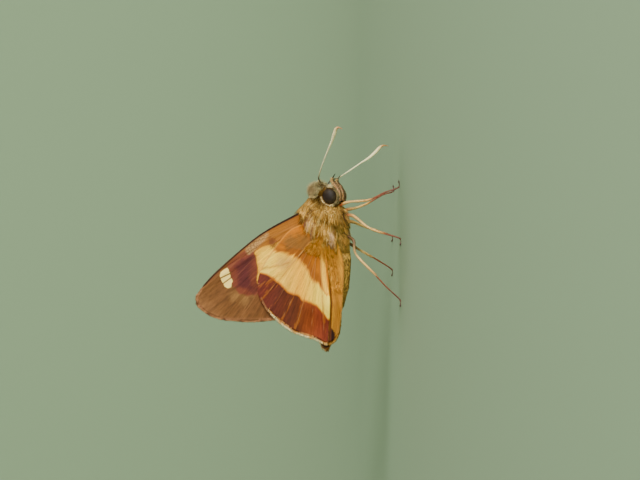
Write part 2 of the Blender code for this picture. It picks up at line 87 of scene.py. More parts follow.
def linear(code):
    """Linear colour from an sRGB hex value: each channel is divided or raised as the sRGB curve says."""
    values = np.array([int(code[i:i + 2], 16) for i in (1, 3, 5)]) / 255.0
    values = np.where(values <= 0.04045, values / 12.92, ((values + 0.055) / 1.055) ** 2.4)
    return (*values.tolist(), 1.0)


def add(tree, kind, inputs=(), **settings):
    """Adds one node, with its settings, its ramp's stops, and its inputs as values or as links."""
    node = tree.nodes.new(kind)
    stops = settings.pop("stops", None)
    for name, value in settings.items():
        setattr(node, name, value)
    if stops:
        elements = node.color_ramp.elements
        elements[0].position, elements[1].position = stops[0][0], stops[-1][0]
        elements[0].color, elements[1].color = linear(stops[0][1]), linear(stops[-1][1])
        for spot, code in stops[1:-1]:
            elements.new(spot).color = linear(code)
    for key, value in dict(inputs).items():
        if isinstance(value, bpy.types.NodeSocket):
            tree.links.new(value, node.inputs[key])
        else:
            node.inputs[key].default_value = value
    return node


def finish(name, roughness, **sockets):
    """A Principled material, with constants set on the shader's own sockets."""
    made = bpy.data.materials.new(name)
    made.use_nodes = True
    shader = made.node_tree.nodes["Principled BSDF"]
    shader.inputs["Roughness"].default_value = roughness
    for key, value in sockets.items():
        shader.inputs[key.replace("_", " ")].default_value = value
    return made, made.node_tree, shader


def build(name, verts, parts, materials, kinds=None, fields=None, uvs=None):
    """A mesh object from points in millimetres of the plan: point plus shift, divided by a thousand."""
    mesh = bpy.data.meshes.new(name)
    faces = [face for part in parts for face in part.tolist()]
    mesh.from_pydata(((verts + PLAN_SHIFT) * 0.001).tolist(), [], faces)
    for made in materials:
        mesh.materials.append(made)
    if kinds is not None:
        mesh.polygons.foreach_set("material_index", kinds.astype(np.int32))
    mesh.polygons.foreach_set("use_smooth", np.ones(len(mesh.polygons), dtype=bool))
    for key, values in (fields or {}).items():
        vector = np.ndim(values) == 2
        stored = mesh.attributes.new(key, "FLOAT_VECTOR" if vector else "FLOAT", "POINT")
        stored.data.foreach_set("vector" if vector else "value", np.asarray(values, np.float32).ravel())
    if uvs is not None:
        corner = np.zeros(len(mesh.loops), dtype=np.int32)
        mesh.loops.foreach_get("vertex_index", corner)
        layer = mesh.uv_layers.new(name="OFBake")
        layer.data.foreach_set("uv", uvs[corner].astype(np.float32).ravel())
    mesh.update()
    made = bpy.data.objects.new(name, mesh)
    bpy.context.scene.collection.objects.link(made)
    return made


def settle(piece, slot, *nodes):
    """Gives a finished piece its body and hides the nodes that it stands for; the slot is not used."""
    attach(piece, "root")
    if nodes:
        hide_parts(*nodes)


def sweep_surface(across, along):
    """The paper: level to FLOOR_BACK, a quarter circle up, then straight up. x runs across it."""
    x = np.linspace(-FLOOR_HALF_WIDTH, FLOOR_HALF_WIDTH, across)
    turn = np.linspace(0.0, 0.5 * math.pi, along)
    y = np.concatenate([[FLOOR_FRONT, 0.0], FLOOR_BACK + SWEEP_RADIUS * np.sin(turn),
                        [FLOOR_BACK + SWEEP_RADIUS]])
    z = np.concatenate([[0.0, 0.0], SWEEP_RADIUS * (1.0 - np.cos(turn)), [WALL_HEIGHT]]) - FLOOR_DROP
    grid = np.stack([np.broadcast_to(x, (len(y), across)), np.broadcast_to(y[:, None], (len(y), across)),
                     np.broadcast_to(z[:, None], (len(z), across))], axis=-1)
    first = (np.arange(len(y) - 1)[:, None] * across + np.arange(across - 1)).ravel()
    return grid.reshape(-1, 3), [np.stack([first, first + 1, first + across + 1, first + across], axis=1)]


paper, _, shader = finish("matt_paper", 0.9)
shader.inputs["Base Color"].default_value = linear("#8DA67C")
sweep = build("paper_sweep", *sweep_surface(3, 64), [paper])

camera = bpy.data.objects.new("camera", bpy.data.cameras.new("camera"))
bpy.context.scene.collection.objects.link(camera)
camera.data.lens = LENS
camera.data.sensor_width = SENSOR
camera.data.clip_start = 0.01
camera.data.clip_end = 5.0
view_back = np.array([0.0, -math.cos(VIEW_RISE), math.sin(VIEW_RISE)])
view_right = np.array([0.0, -math.sin(VIEW_RISE), -math.cos(VIEW_RISE)])
view_place = (VIEW_MIDDLE + PLAN_SHIFT + VIEW_DISTANCE * view_back) * 0.001
turned = np.eye(4)
turned[:3, :4] = np.stack([view_right, [1.0, 0.0, 0.0], view_back, view_place], axis=1)
camera.matrix_world = Matrix(turned.tolist())
bpy.context.scene.camera = camera

# Soft lights: a wide key from the head's side, a fill by the camera and a weak one from behind
for name, place, size, power in (
        ("key_light", (0.40, -0.32, 0.12), 0.28, 4.5),
        ("fill_light", (0.06, -0.55, 0.04), 0.40, 2.8),
        ("back_light", (-0.15, 0.30, 0.42), 0.35, 1.0)):
    lamp = bpy.data.objects.new(name, bpy.data.lights.new(name, "AREA"))
    lamp.data.size = size
    lamp.data.energy = power
    away = unit(np.array(place) - np.array([0.0, 0.0, 0.012]))
    side = unit(np.cross([0.0, 0.0, 1.0], away))
    turned = np.eye(4)
    turned[:3, :4] = np.stack([side, np.cross(away, side), away, place], axis=1)
    lamp.matrix_world = Matrix(turned.tolist())
    bpy.context.scene.collection.objects.link(lamp)
world = bpy.data.worlds.new("soft_room")
world.use_nodes = True
world.node_tree.nodes["Background"].inputs["Color"].default_value = linear("#EDF1EE")
world.node_tree.nodes["Background"].inputs["Strength"].default_value = 0.32
bpy.context.scene.world = world


# The forewings
# Thin membranes between stiff veins, covered on both faces with tiny overlapping scales. They are
# closed over the back, and most of each shows only beyond the front edge of the hindwing outside it.
MEMBRANE = 0.1
FORE_CLEARANCE = 0.45
HIND_CLEARANCE = 1.36
FLANK_SPREAD = 0.75
TAIL_SPREAD = 1.0
FORE_STANDS_OUT = 0.2
FORE_MARGIN = np.array([
    [4.46, 15.2], [2.2, 19.35], [0.0, 22.5], [-4.9, 28.0], [-8.1, 30.65], [-9.3, 30.95], [-10.3, 30.5],
    [-11.8, 28.0], [-12.4, 23.8], [-12.25, 20.0], [-11.6, 17.9], [-7.5, 15.9], [0.0, 13.1], [2.4, 12.3],
])
FORE_ROOT = np.array([[4.3, 14.3], [2.9, 12.7]])
FORE_VEINS = (0.17, 0.29, 0.375, 0.425, 0.475, 0.525, 0.575, 0.64, 0.74)
FORE_CELL = ((-1.9, 24.2), (-5.3, 19.8))
FORE_LEAVES = (0.35, 0.55, 0.75, 0.92, 1.0, 1.0, 0.97, 0.8, 0.3)
FORE_FRINGE = 0.5
FORE_FRINGED = (0.4, 0.72)
LEFT_FORE_LEAD = 0.008
LOBE_HEIGHT = 11.4
LOBE_HALF_WIDTH = 0.75
SIDES = (("right", -1.0), ("left", 1.0))
WING_COLUMNS = 240
WING_ROWS = 90
VEIN_SIZE = 0.13
VEIN_RISE = 0.035
FAR_OFF = 4.0

# Marks of the forewing, as outlines in the plan
YELLOW_FLASH = np.array([
    [0.2, 17.6], [-0.4, 19.5], [-0.9, 21.0], [-1.7, 21.95], [-2.3, 21.7], [-3.9, 21.5], [-4.6, 21.45],
    [-5.8, 21.6], [-7.2, 21.2], [-7.6, 20.0], [-7.0, 18.6], [-4.5, 17.0], [-1.5, 16.2],
])
MAROON_PATCH = np.array([
    [-1.3, 22.9], [-2.5, 24.9], [-3.3, 25.9], [-4.1, 25.95], [-5.0, 25.6], [-5.9, 25.2], [-6.8, 25.1],
    [-7.7, 24.1], [-8.1, 22.9], [-8.0, 21.7], [-7.2, 21.1], [-5.8, 21.6], [-4.6, 21.45], [-3.9, 21.5],
    [-2.3, 21.7], [-1.7, 22.0],
])
CREAM_SPOT = np.array([
    [-3.88, 26.1], [-4.12, 25.96], [-5.0, 25.62], [-5.45, 25.56], [-5.89, 25.22], [-6.48, 25.46],
    [-6.95, 25.4], [-7.14, 26.1], [-6.88, 26.59], [-6.48, 26.74],
    [-5.98, 27.07], [-5.2, 27.33], [-4.46, 27.08],
])
SPOT_LINES = (np.array([[-5.6, 27.3], [-4.75, 25.5]]), np.array([[-6.42, 26.85], [-5.45, 25.5]]))
NET_STRIP = np.array([
    [-0.6, 23.6], [1.2, 21.5], [1.6, 20.3], [0.9, 19.9], [-0.5, 21.2], [-1.6, 22.4], [-1.9, 23.0],
])
SPECKLED_SPOT = np.array([[0.9, 19.7], [-0.1, 20.0], [-1.15, 19.35], [-0.9, 18.6], [0.3, 18.5]])
TAN_SPOTS = ((-8.3, 25.1, 0.8), (-8.9, 23.5, 0.9), (-8.1, 22.6, 0.6))


def smooth_step(value, low, high):
    """0 at low and 1 at high, with t squared times (3 - 2t) between them."""
    part = np.clip((value - low) / (high - low), 0.0, 1.0)
    return part * part * (3.0 - 2.0 * part)


def fore_plane(x, z):
    """Distance of a forewing from the middle plane: its clearance, plus what the body pushes it out."""
    along = TAIL_SPREAD * smooth_step(x, -14.0, -9.0) + FLANK_SPREAD * smooth_step(x, -4.5, 1.0)
    return FORE_CLEARANCE + along * (1.0 - smooth_step(z, 12.5, 17.0))


def hind_plane(x, z):
    """Distance of a hindwing from the middle plane: it lies outside the forewing all over."""
    return fore_plane(x, z) + HIND_CLEARANCE - FORE_CLEARANCE


def through(points, samples):
    """A smooth curve through points: on each span the cubic set by its four neighbours."""
    points = np.asarray(points, dtype=float)
    padded = np.vstack([2.0 * points[0] - points[1], points, 2.0 * points[-1] - points[-2]])
    t = np.linspace(0.0, 1.0, samples, endpoint=False)[None, :, None]
    a, b, c, d = (padded[i:i + len(points) - 1, None] for i in range(4))
    spans = 0.5 * (2.0 * b + (c - a) * t + (2.0 * a - 5.0 * b + 4.0 * c - d) * t ** 2
                   + (3.0 * b - a - 3.0 * c + d) * t ** 3)
    return np.vstack([spans.reshape(-1, points.shape[1]), points[-1:]])


def line_distance(x, z, line):
    """Distance of each point to a line of short segments: the nearest foot on any segment."""
    start = line[:-1]
    way = line[1:] - start
    best = np.full(np.shape(x), 1e9)
    for (sx, sz), (wx, wz) in zip(start, way):
        part = np.clip(((x - sx) * wx + (z - sz) * wz) / (wx * wx + wz * wz + 1e-12), 0.0, 1.0)
        best = np.minimum(best, np.hypot(x - sx - part * wx, z - sz - part * wz))
    return best


def inside_distance(x, z, corners, rounding=6):
    """Distance to a closed outline, positive inside it, where a line out has an odd count of crossings."""
    line = through(np.vstack([corners, corners[:1]]), rounding)
    crossings = np.zeros(np.shape(x), dtype=int)
    for (ax, az), (bx, bz) in zip(line[:-1], line[1:]):
        spans = (az > z) != (bz > z)
        crossings += spans & (x < ax + (bx - ax) * (z - az) / (bz - az if bz != az else 1e-9))
    return line_distance(x, z, line) * np.where(crossings % 2 == 1, 1.0, -1.0)


def margin_line(margin, root, lobe, lead):
    """The outline as a fine line, its rear corner drawn out into a lobe, turned by lead about the root."""
    outline = through(margin, 24)
    outline[:, 0] -= lobe * np.exp(-((outline[:, 1] - LOBE_HEIGHT) / LOBE_HALF_WIDTH) ** 4)
    offset = outline - root[0]
    turned = np.stack([offset[:, 0] * math.cos(lead) + offset[:, 1] * math.sin(lead),
                       offset[:, 1] * math.cos(lead) - offset[:, 0] * math.sin(lead)], axis=1)
    return root[0] + turned


def along_line(line, parts):
    """Points at given parts of a line's length."""
    travelled = np.concatenate([[0.0], np.cumsum(np.linalg.norm(np.diff(line, axis=0), axis=1))])
    spots = parts * travelled[-1]
    return np.stack([np.interp(spots, travelled, line[:, i]) for i in range(line.shape[1])], axis=1)


def vein_distance(x, z, outline, root, ends, leaves, cell):
    """Distance to the nearest vein: each runs towards the cell's end, bends there and goes to the margin."""
    start = root.mean(axis=0)
    near_end, far_end = np.array(cell)
    best = np.full(np.shape(x), 1e9)
    for order, (end, leave) in enumerate(zip(ends, leaves)):
        corner = near_end + (far_end - near_end) * smooth_step(order / (len(ends) - 1), 0.3, 0.8)
        turn = start + (corner - start) * leave
        stop = along_line(outline, np.array([end]))[0]
        best = np.minimum(best, line_distance(x, z, through([start, turn, stop], 5)))
    return best


def fan_surface(margin, root, lobe, lead, fringe, fringed):
    """A fan of lines from root to margin: root + (margin - root) times v, for each u along the edge."""
    outline = margin_line(margin, root, lobe, lead)
    u = np.linspace(0.0, 1.0, WING_COLUMNS)
    v = np.linspace(0.0, 1.0, WING_ROWS)
    edge = along_line(outline, u)
    start = root[0] + (root[1] - root[0]) * u[:, None]
    ray = edge - start
    length = np.linalg.norm(ray, axis=1)
    inset = fringe * smooth_step(u, fringed[0] - 0.04, fringed[0])
    inset = inset * (1.0 - smooth_step(u, fringed[1], fringed[1] + 0.04))
    ray = ray * (1.0 - inset / length)[:, None]
    spots = start[None] + ray[None] * v[:, None, None]
    fan = np.stack([np.broadcast_to(u * 50.0, (WING_ROWS, WING_COLUMNS)), v[:, None] * length[None],
                    np.zeros((WING_ROWS, WING_COLUMNS))], axis=-1)
    return outline, spots[..., 0], spots[..., 1], fan


def plate(x, z, y, side, thickness):
    """Both faces of a membrane and the rim between them, from the grid of its middle, closed all round."""
    rows, columns = x.shape
    outer = np.stack([x, side * (y + 0.5 * thickness), z], axis=-1).reshape(-1, 3)
    inner = np.stack([x, side * (y - 0.5 * thickness), z], axis=-1).reshape(-1, 3)
    first = (np.arange(rows - 1)[:, None] * columns + np.arange(columns - 1)).ravel()
    quads = np.stack([first, first + 1, first + columns + 1, first + columns], axis=1)
    grid = np.arange(rows * columns).reshape(rows, columns)
    border = np.concatenate([grid[0, :-1], grid[:-1, -1], grid[-1, :0:-1], grid[:0:-1, 0]])
    after = np.roll(border, -1)
    count = rows * columns
    rim = np.stack([after, border, border + count, after + count], axis=1)
    faces = np.vstack([quads, quads[:, ::-1] + count, rim])
    if side > 0.0:
        faces = faces[:, ::-1]
    kinds = np.concatenate([np.zeros(len(quads)), np.ones(len(quads)), np.zeros(len(rim))])
    return np.vstack([outer, inner]), [faces], kinds


def both_faces(values):
    """A field of the grid, once for each face."""
    flat = values.reshape(-1, values.shape[-1]) if values.ndim == 3 else values.ravel()
    return np.concatenate([flat, flat])


def lay_marks(tree, colour, *marks):
    """Lays marks over a colour in turn: a step of each one's distance field, ragged by noise, mixes it in.

    A mark is its field, its colour, half the width of its step, its raggedness and its noise, and then, where
    they aren't 0 and 1, how far it is grown and how much of it shows.
    """
    for field, over, soft, ragged, noise, *more in marks:
        grown, amount = more + [0.0, 1.0][len(more):]
        distance = add(tree, "ShaderNodeAttribute", attribute_name=field).outputs["Fac"]
        uneven = add(tree, "ShaderNodeMath", {0: noise, 1: ragged, 2: grown - 0.5 * ragged},
                     operation="MULTIPLY_ADD")
        moved = add(tree, "ShaderNodeMath", {0: distance, 1: uneven.outputs[0]}, operation="ADD")
        step = add(tree, "ShaderNodeMapRange", {
            "Value": moved.outputs[0], "From Min": -soft, "From Max": soft, "To Max": amount,
        }, interpolation_type="SMOOTHSTEP")
        over = over if isinstance(over, bpy.types.NodeSocket) else linear(over)
        colour = add(tree, "ShaderNodeMix", {0: step.outputs[0], 6: colour, 7: over},
                     data_type="RGBA").outputs[2]
    return colour


def scale_noises(tree):
    """The wing's unevenness: a fine grain, a broad cloud, and streaks that run out along the veins."""
    place = add(tree, "ShaderNodeAttribute", attribute_name="place").outputs["Vector"]
    fan = add(tree, "ShaderNodeAttribute", attribute_name="fan").outputs["Vector"]
    stretched = add(tree, "ShaderNodeMapping", {"Vector": fan, "Scale": (2.6, 0.4, 1.0)})
    grain = add(tree, "ShaderNodeTexNoise", {"Vector": place, "Scale": 7.0, "Detail": 3.0, "Roughness": 0.65})
    cloud = add(tree, "ShaderNodeTexNoise", {"Vector": place, "Scale": 0.55, "Detail": 4.0})
    fan = stretched.outputs[0]
    thin = add(tree, "ShaderNodeTexNoise", {"Vector": fan, "Scale": 1.0, "Detail": 4.0, "Roughness": 0.78})
    wide = add(tree, "ShaderNodeTexNoise", {"Vector": fan, "Scale": 0.3, "Detail": 5.0, "Roughness": 0.7})
    half = add(tree, "ShaderNodeMath", {0: wide.outputs["Fac"], 1: 0.7, 2: -0.2}, operation="MULTIPLY_ADD")
    streak = add(tree, "ShaderNodeMath", {0: thin.outputs["Fac"], 1: 0.7, 2: half.outputs[0]},
                 operation="MULTIPLY_ADD")
    return place, grain.outputs["Fac"], cloud.outputs["Fac"], streak.outputs[0]


def shade_by(tree, colour, noise, low, high, span=(0.3, 0.7)):
    """Darkens and lightens a colour by a noise, from the factor low to the factor high."""
    factor = add(tree, "ShaderNodeMapRange", {
        "Value": noise, "From Min": span[0], "From Max": span[1], "To Min": low, "To Max": high,
    }).outputs[0]
    grey = add(tree, "ShaderNodeCombineColor", {0: factor, 1: factor, 2: factor}).outputs[0]
    return add(tree, "ShaderNodeMix", {0: 1.0, 6: colour, 7: grey}, data_type="RGBA",
               blend_type="MULTIPLY").outputs[2]


def raise_scales(tree, shader, place, streak):
    """The rows of scales as a fine relief: real ones are 0.1 mm apart, these 0.16 mm so that they show."""
    rows = add(tree, "ShaderNodeTexNoise", {"Vector": place, "Scale": 6.2, "Detail": 2.0})
    both = add(tree, "ShaderNodeMath", {0: rows.outputs["Fac"], 1: streak}, operation="ADD")
    bump = add(tree, "ShaderNodeBump", {"Height": both.outputs[0], "Strength": 0.35, "Distance": 0.00006})
    tree.links.new(bump.outputs[0], shader.inputs["Normal"])


# Underside of the forewing: brown and tan scales, golden near the root, with a yellow flash by the
# hindwing's front edge, a plum-brown patch beyond it and a cream spot in three parts near the tip
fore_under, tree, shader = finish("brown_wing_scales", 0.7, Specular_IOR_Level=0.15)
place, grain, cloud, streak = scale_noises(tree)
reach = add(tree, "ShaderNodeAttribute", attribute_name="reach").outputs["Fac"]
colour = add(tree, "ShaderNodeValToRGB", {"Fac": reach}, stops=(
    (0.0, "#985A16"), (0.3, "#A4641C"), (0.45, "#8A5422"), (0.6, "#6E4420"), (0.78, "#744A24"),
    (0.88, "#8E5E34"), (1.0, "#BC8A5C"))).outputs["Color"]
colour = lay_marks(
    tree, colour, ("tan_spots", "#A0723C", 0.5, 2.0, streak, 0.0, 0.42),
    ("maroon_patch", "#743824", 0.2, 1.8, streak, 0.12),
    ("maroon_patch", "#582622", 0.6, 2.2, cloud, -0.9), ("yellow_flash", "#E8A020", 0.1, 0.5, grain),
    ("yellow_flash", "#FFCA38", 0.6, 1.4, streak, -0.4),
    ("net_strip", "#C89C60", 0.25, 0.5, grain, 0.0, 0.6))
cells = add(tree, "ShaderNodeTexVoronoi", {"Vector": place, "Scale": 2.6}, feature="DISTANCE_TO_EDGE")
lines = add(tree, "ShaderNodeMapRange", {
    "Value": cells.outputs["Distance"], "From Min": 0.04, "From Max": 0.13, "To Min": 0.65, "To Max": 0.0})
netted = add(tree, "ShaderNodeAttribute", attribute_name="net_strip")
within = add(tree, "ShaderNodeMapRange", {"Value": netted.outputs["Fac"], "From Min": -0.1, "From Max": 0.15})
amount = add(tree, "ShaderNodeMath", {0: lines.outputs[0], 1: within.outputs[0]}, operation="MULTIPLY")
colour = add(tree, "ShaderNodeMix", {0: amount.outputs[0], 6: colour, 7: linear("#5E4224")},
             data_type="RGBA").outputs[2]
colour = lay_marks(
    tree, colour, ("speckled_spot", "#6A381C", 0.3, 2.6, grain, -0.15, 0.85))
colour = shade_by(tree, colour, streak, 0.5, 1.4)
colour = shade_by(tree, colour, grain, 0.82, 1.14)
colour = lay_marks(
    tree, colour, ("vein", "#A8703C", 0.05, 0.05, streak, -0.04, 0.2),
    ("cream_spot", "#FFDA74", 0.05, 0.4, grain, -0.06),
    ("spot_lines", "#6A4420", 0.05, 0.04, grain, 0.06, 0.95),
    ("costa", "#7A4218", 0.3, 0.7, grain, 0.15, 0.7), ("costa", "#2A1408", 0.08, 0.12, grain),
    ("termen", "#A9714A", 0.4, 0.5, streak, -0.2, 0.6))
tree.links.new(colour, shader.inputs["Base Color"])
raise_scales(tree, shader, place, streak)

# Upper side of the forewing, which faces its fellow: dark brown with the same flash and spot
fore_upper, tree, shader = finish("dark_upper_scales", 0.7, Specular_IOR_Level=0.2)
place, grain, cloud, streak = scale_noises(tree)
colour = lay_marks(
    tree, linear("#4E301A"), ("yellow_flash", "#D8A648", 0.15, 0.4, grain),
    ("cream_spot", "#E8D8B0", 0.1, 0.2, grain))
colour = shade_by(tree, colour, streak, 0.75, 1.2)
tree.links.new(colour, shader.inputs["Base Color"])
raise_scales(tree, shader, place, streak)


def forewing(word, side, lead):
    """One forewing: the fan, set on its plane, with ridges over the veins and a slight wave."""
    outline, x, z, fan = fan_surface(FORE_MARGIN, FORE_ROOT, 0.0, lead, FORE_FRINGE, FORE_FRINGED)
    vein = vein_distance(x, z, outline, FORE_ROOT, FORE_VEINS, FORE_LEAVES, FORE_CELL)
    ridge = VEIN_RISE * np.exp(-(vein / VEIN_SIZE) ** 2)
    wave = 0.05 * np.sin(1.1 * fan[..., 0]) * smooth_step(fan[..., 1], 6.0, 16.0)
    y = fore_plane(x, z) + FORE_STANDS_OUT * smooth_step(fan[..., 1], 2.0, 5.0) + ridge + wave
    centre = FORE_ROOT.mean(axis=0)
    edge_u = fan[..., 0] / 50.0
    border = line_distance(x, z, outline[::3])
    spot_line = np.minimum(*(line_distance(x, z, line) for line in SPOT_LINES))
    tan = np.max([1.0 - np.hypot(x - sx, z - sz) / size for sx, sz, size in TAN_SPOTS], axis=0)
    fields = {
        "place": np.stack([x, z, np.zeros_like(x)], axis=-1), "fan": fan,
        "reach": np.hypot(x - centre[0], z - centre[1]) / 25.0,
        "vein": 0.08 - vein, "tan_spots": 0.7 * tan,
        "costa": 0.28 - 0.16 * smooth_step(edge_u, 0.04, 0.22) - border
        - FAR_OFF * smooth_step(edge_u, 0.36, 0.41),
        "termen": FORE_FRINGE + 0.2 - border - FAR_OFF * (1.0 - smooth_step(edge_u, 0.38, 0.43)),
        "yellow_flash": inside_distance(x, z, YELLOW_FLASH),
        "cream_spot": inside_distance(x, z, CREAM_SPOT, 2),
        "maroon_patch": inside_distance(x, z, MAROON_PATCH), "spot_lines": 0.04 - spot_line,
        "net_strip": inside_distance(x, z, NET_STRIP), "speckled_spot": inside_distance(x, z, SPECKLED_SPOT),
    }
    verts, faces, kinds = plate(x, z, y, side, MEMBRANE)
    made = build("forewing_scales_" + word, verts, faces, [fore_under, fore_upper], kinds,
                 {key: both_faces(values) for key, values in fields.items()})
    settle(made, "forewing_scales", "forewing_" + word)
    return outline


fore_outlines = {
    "right": forewing("right", -1.0, 0.0),
    "left": forewing("left", 1.0, LEFT_FORE_LEAD),
}


# The hindwings
# The same kind of membrane, rounder, with a pale yellow band between an ochre base and a dark brown
# outer part. Behind the last vein the rear field folds in against the abdomen, and ends in a dark lobe.
HIND_STANDS_IN = -0.2
HIND_MARGIN = np.array([
    [3.0, 13.4], [2.0, 16.35], [-0.7, 18.75], [-4.1, 20.95], [-7.2, 21.55], [-9.6, 20.75],
    [-11.8, 19.15], [-14.0, 16.3], [-15.2, 12.9], [-16.0, 11.0], [-15.5, 9.7], [-13.6, 8.95],
    [-8.0, 8.45], [-3.6, 8.3], [0.2, 9.3],
])
HIND_ROOT = np.array([[2.7, 12.5], [1.6, 10.6]])
HIND_VEINS = (0.13, 0.235, 0.295, 0.345, 0.395, 0.445, 0.505, 0.565, 0.615)
HIND_CELL = ((-4.3, 17.3), (-5.6, 13.4))
HIND_LEAVES = (0.5, 0.75, 1.0, 1.0, 1.0, 1.0, 0.85, 0.6, 0.3)
HIND_FRINGE = 0.62
HIND_FRINGED = (0.4, 1.2)
SHORT_FRINGE = 0.25
REAR_FRINGE = 0.45
LEFT_HIND_LEAD = -0.02
LEFT_LOBE_LENGTH = 1.2
PALE_FOLD = np.array([[0.6, 13.1], [-2.2, 15.3]])
FOLD_LINE = np.array([
    [1.0, 11.3], [-1.8, 11.1], [-4.4, 10.85], [-6.3, 10.65], [-9.2, 10.45], [-12.0, 10.5], [-16.2, 10.6],
])
BAND_START = np.array([
    [-0.6, 19.9], [-1.57, 18.94], [-1.66, 17.44], [-2.12, 16.88], [-2.4, 15.75], [-3.05, 15.2],
    [-3.62, 14.54], [-4.27, 14.07], [-5.01, 13.7], [-6.04, 13.23], [-6.41, 12.39], [-7.06, 11.92],
    [-7.81, 11.36], [-8.37, 10.99],
])
BAND_END = np.array([
    [-4.6, 22.2], [-4.92, 20.9], [-5.2, 19.86], [-5.85, 19.12], [-6.32, 18.46], [-7.15, 17.44],
    [-7.82, 16.87], [-8.09, 16.13], [-8.28, 15.28], [-9.03, 14.73], [-9.31, 13.7], [-9.95, 12.48],
    [-10.98, 11.64], [-12.0, 10.8],
])
GREY_SHADE = np.array([[-2.3, 18.3], [-3.6, 18.6], [-4.2, 17.4], [-3.2, 16.3], [-2.5, 16.6]])
BRIGHT_STRIPE = np.array([[-0.5, 11.6], [-3.4, 11.6], [-6.0, 11.4], [-8.0, 11.0]])
OLIVE_SHADE = np.array([[1.2, 16.4], [-0.2, 17.3], [-1.6, 16.6], [-2.4, 15.0], [-1.2, 13.2], [0.4, 13.6]])
DARK_LOBE = np.array([
    [-12.9, 10.45], [-14.0, 10.7], [-15.6, 10.8], [-16.2, 10.3], [-15.4, 9.7], [-13.9, 9.55],
])

hind_under, tree, shader = finish("banded_wing_scales", 0.7, Specular_IOR_Level=0.15)
place, grain, cloud, streak = scale_noises(tree)
height = add(tree, "ShaderNodeAttribute", attribute_name="height").outputs["Fac"]
pale = add(tree, "ShaderNodeValToRGB", {"Fac": height}, stops=(
    (0.1, "#FFDC50"), (0.3, "#FFCC34"), (0.45, "#FAB01C"), (0.6, "#F2B432"), (0.75, "#FFC83C"),
    (0.92, "#FFD650")))
deep = add(tree, "ShaderNodeValToRGB", {"Fac": height}, stops=(
    (0.08, "#421614"), (0.2, "#84341A"), (0.36, "#8C4016"), (0.5, "#5C2B10"), (0.7, "#5C2816"),
    (0.95, "#64281C")))
colour = lay_marks(
    tree, linear("#BE6A04"), ("vein", "#84460C", 0.4, 3.6, streak, 0.05, 0.75),
    ("olive_shade", "#7C5424", 0.9, 3.4, cloud, 0.1, 0.85),
    ("base_edge", "#94500E", 0.45, 2.2, streak, 0.0, 0.85),
    ("bright_stripe", "#FFBC34", 0.2, 0.7, streak), ("band_start", "#DE9422", 0.24, 2.2, streak, 0.3),
    ("band_start", pale.outputs["Color"], 0.2, 2.0, streak, -0.05),
    ("grey_shade", "#C8984A", 0.5, 1.4, streak, 0.0, 0.7),
    ("band_end", "#C8700E", 0.22, 1.2, streak, 0.26),
    ("band_end", deep.outputs["Color"], 0.14, 0.8, streak, 0.0),
    ("vein", "#94500E", 0.16, 3.4, streak, -0.08, 0.6), ("rear_field", "#C6861E", 0.2, 0.5, streak),
    ("rear_glow", "#9A5C1C", 0.3, 1.9, cloud, -0.2, 0.6),
    ("dark_lobe", "#2C120A", 0.16, 1.0, grain, -0.1), ("lobe_tip", "#8E5636", 0.3, 0.5, grain))
colour = shade_by(tree, colour, streak, 0.54, 1.42)
colour = shade_by(tree, colour, grain, 0.84, 1.12)
# Painted shadow: a dark line along the lower side of the pale fold line near the base, and a dark band in the
# groove of the rear fold
colour = lay_marks(
    tree, colour, ("vein", "#C89058", 0.035, 0.04, streak, -0.045, 0.4),
    ("costa", "#D0842C", 0.1, 0.15, grain, 0.0, 0.6),
    ("pale_fold", "#E0A048", 0.05, 0.06, grain, 0.0, 0.75),
    ("painted_shadow_under_fold", "#5A3414", 0.07, 0.1, grain, 0.0, 0.8),
    ("fold_shade", "#5A2C10", 0.1, 0.15, grain, 0.0, 0.9),
    ("termen", "#4A1C10", 0.12, 0.2, streak, 0.0, 0.8))
tree.links.new(colour, shader.inputs["Base Color"])
raise_scales(tree, shader, place, streak)

hind_upper, tree, shader = finish("dark_hind_upper_scales", 0.7, Specular_IOR_Level=0.2)
place, grain, cloud, streak = scale_noises(tree)
colour = lay_marks(
    tree, linear("#54341C"), ("band_start", "#DDAE50", 0.5, 1.0, streak),
    ("band_end", "#4E301A", 0.3, 0.8, streak))
colour = shade_by(tree, colour, streak, 0.75, 1.2)
tree.links.new(colour, shader.inputs["Base Color"])
raise_scales(tree, shader, place, streak)


def beyond(x, z, line, centre):
    """How far a point lies beyond a line across the wing: its radius from the root less the line's."""
    smooth = through(line, 8) - centre
    angle = np.arctan2(smooth[:, 1], -smooth[:, 0])
    order = np.argsort(angle)
    own = np.arctan2(z - centre[1], centre[0] - x)
    radius = np.hypot(smooth[:, 0], smooth[:, 1])
    return np.hypot(x - centre[0], z - centre[1]) - np.interp(own, angle[order], radius[order])


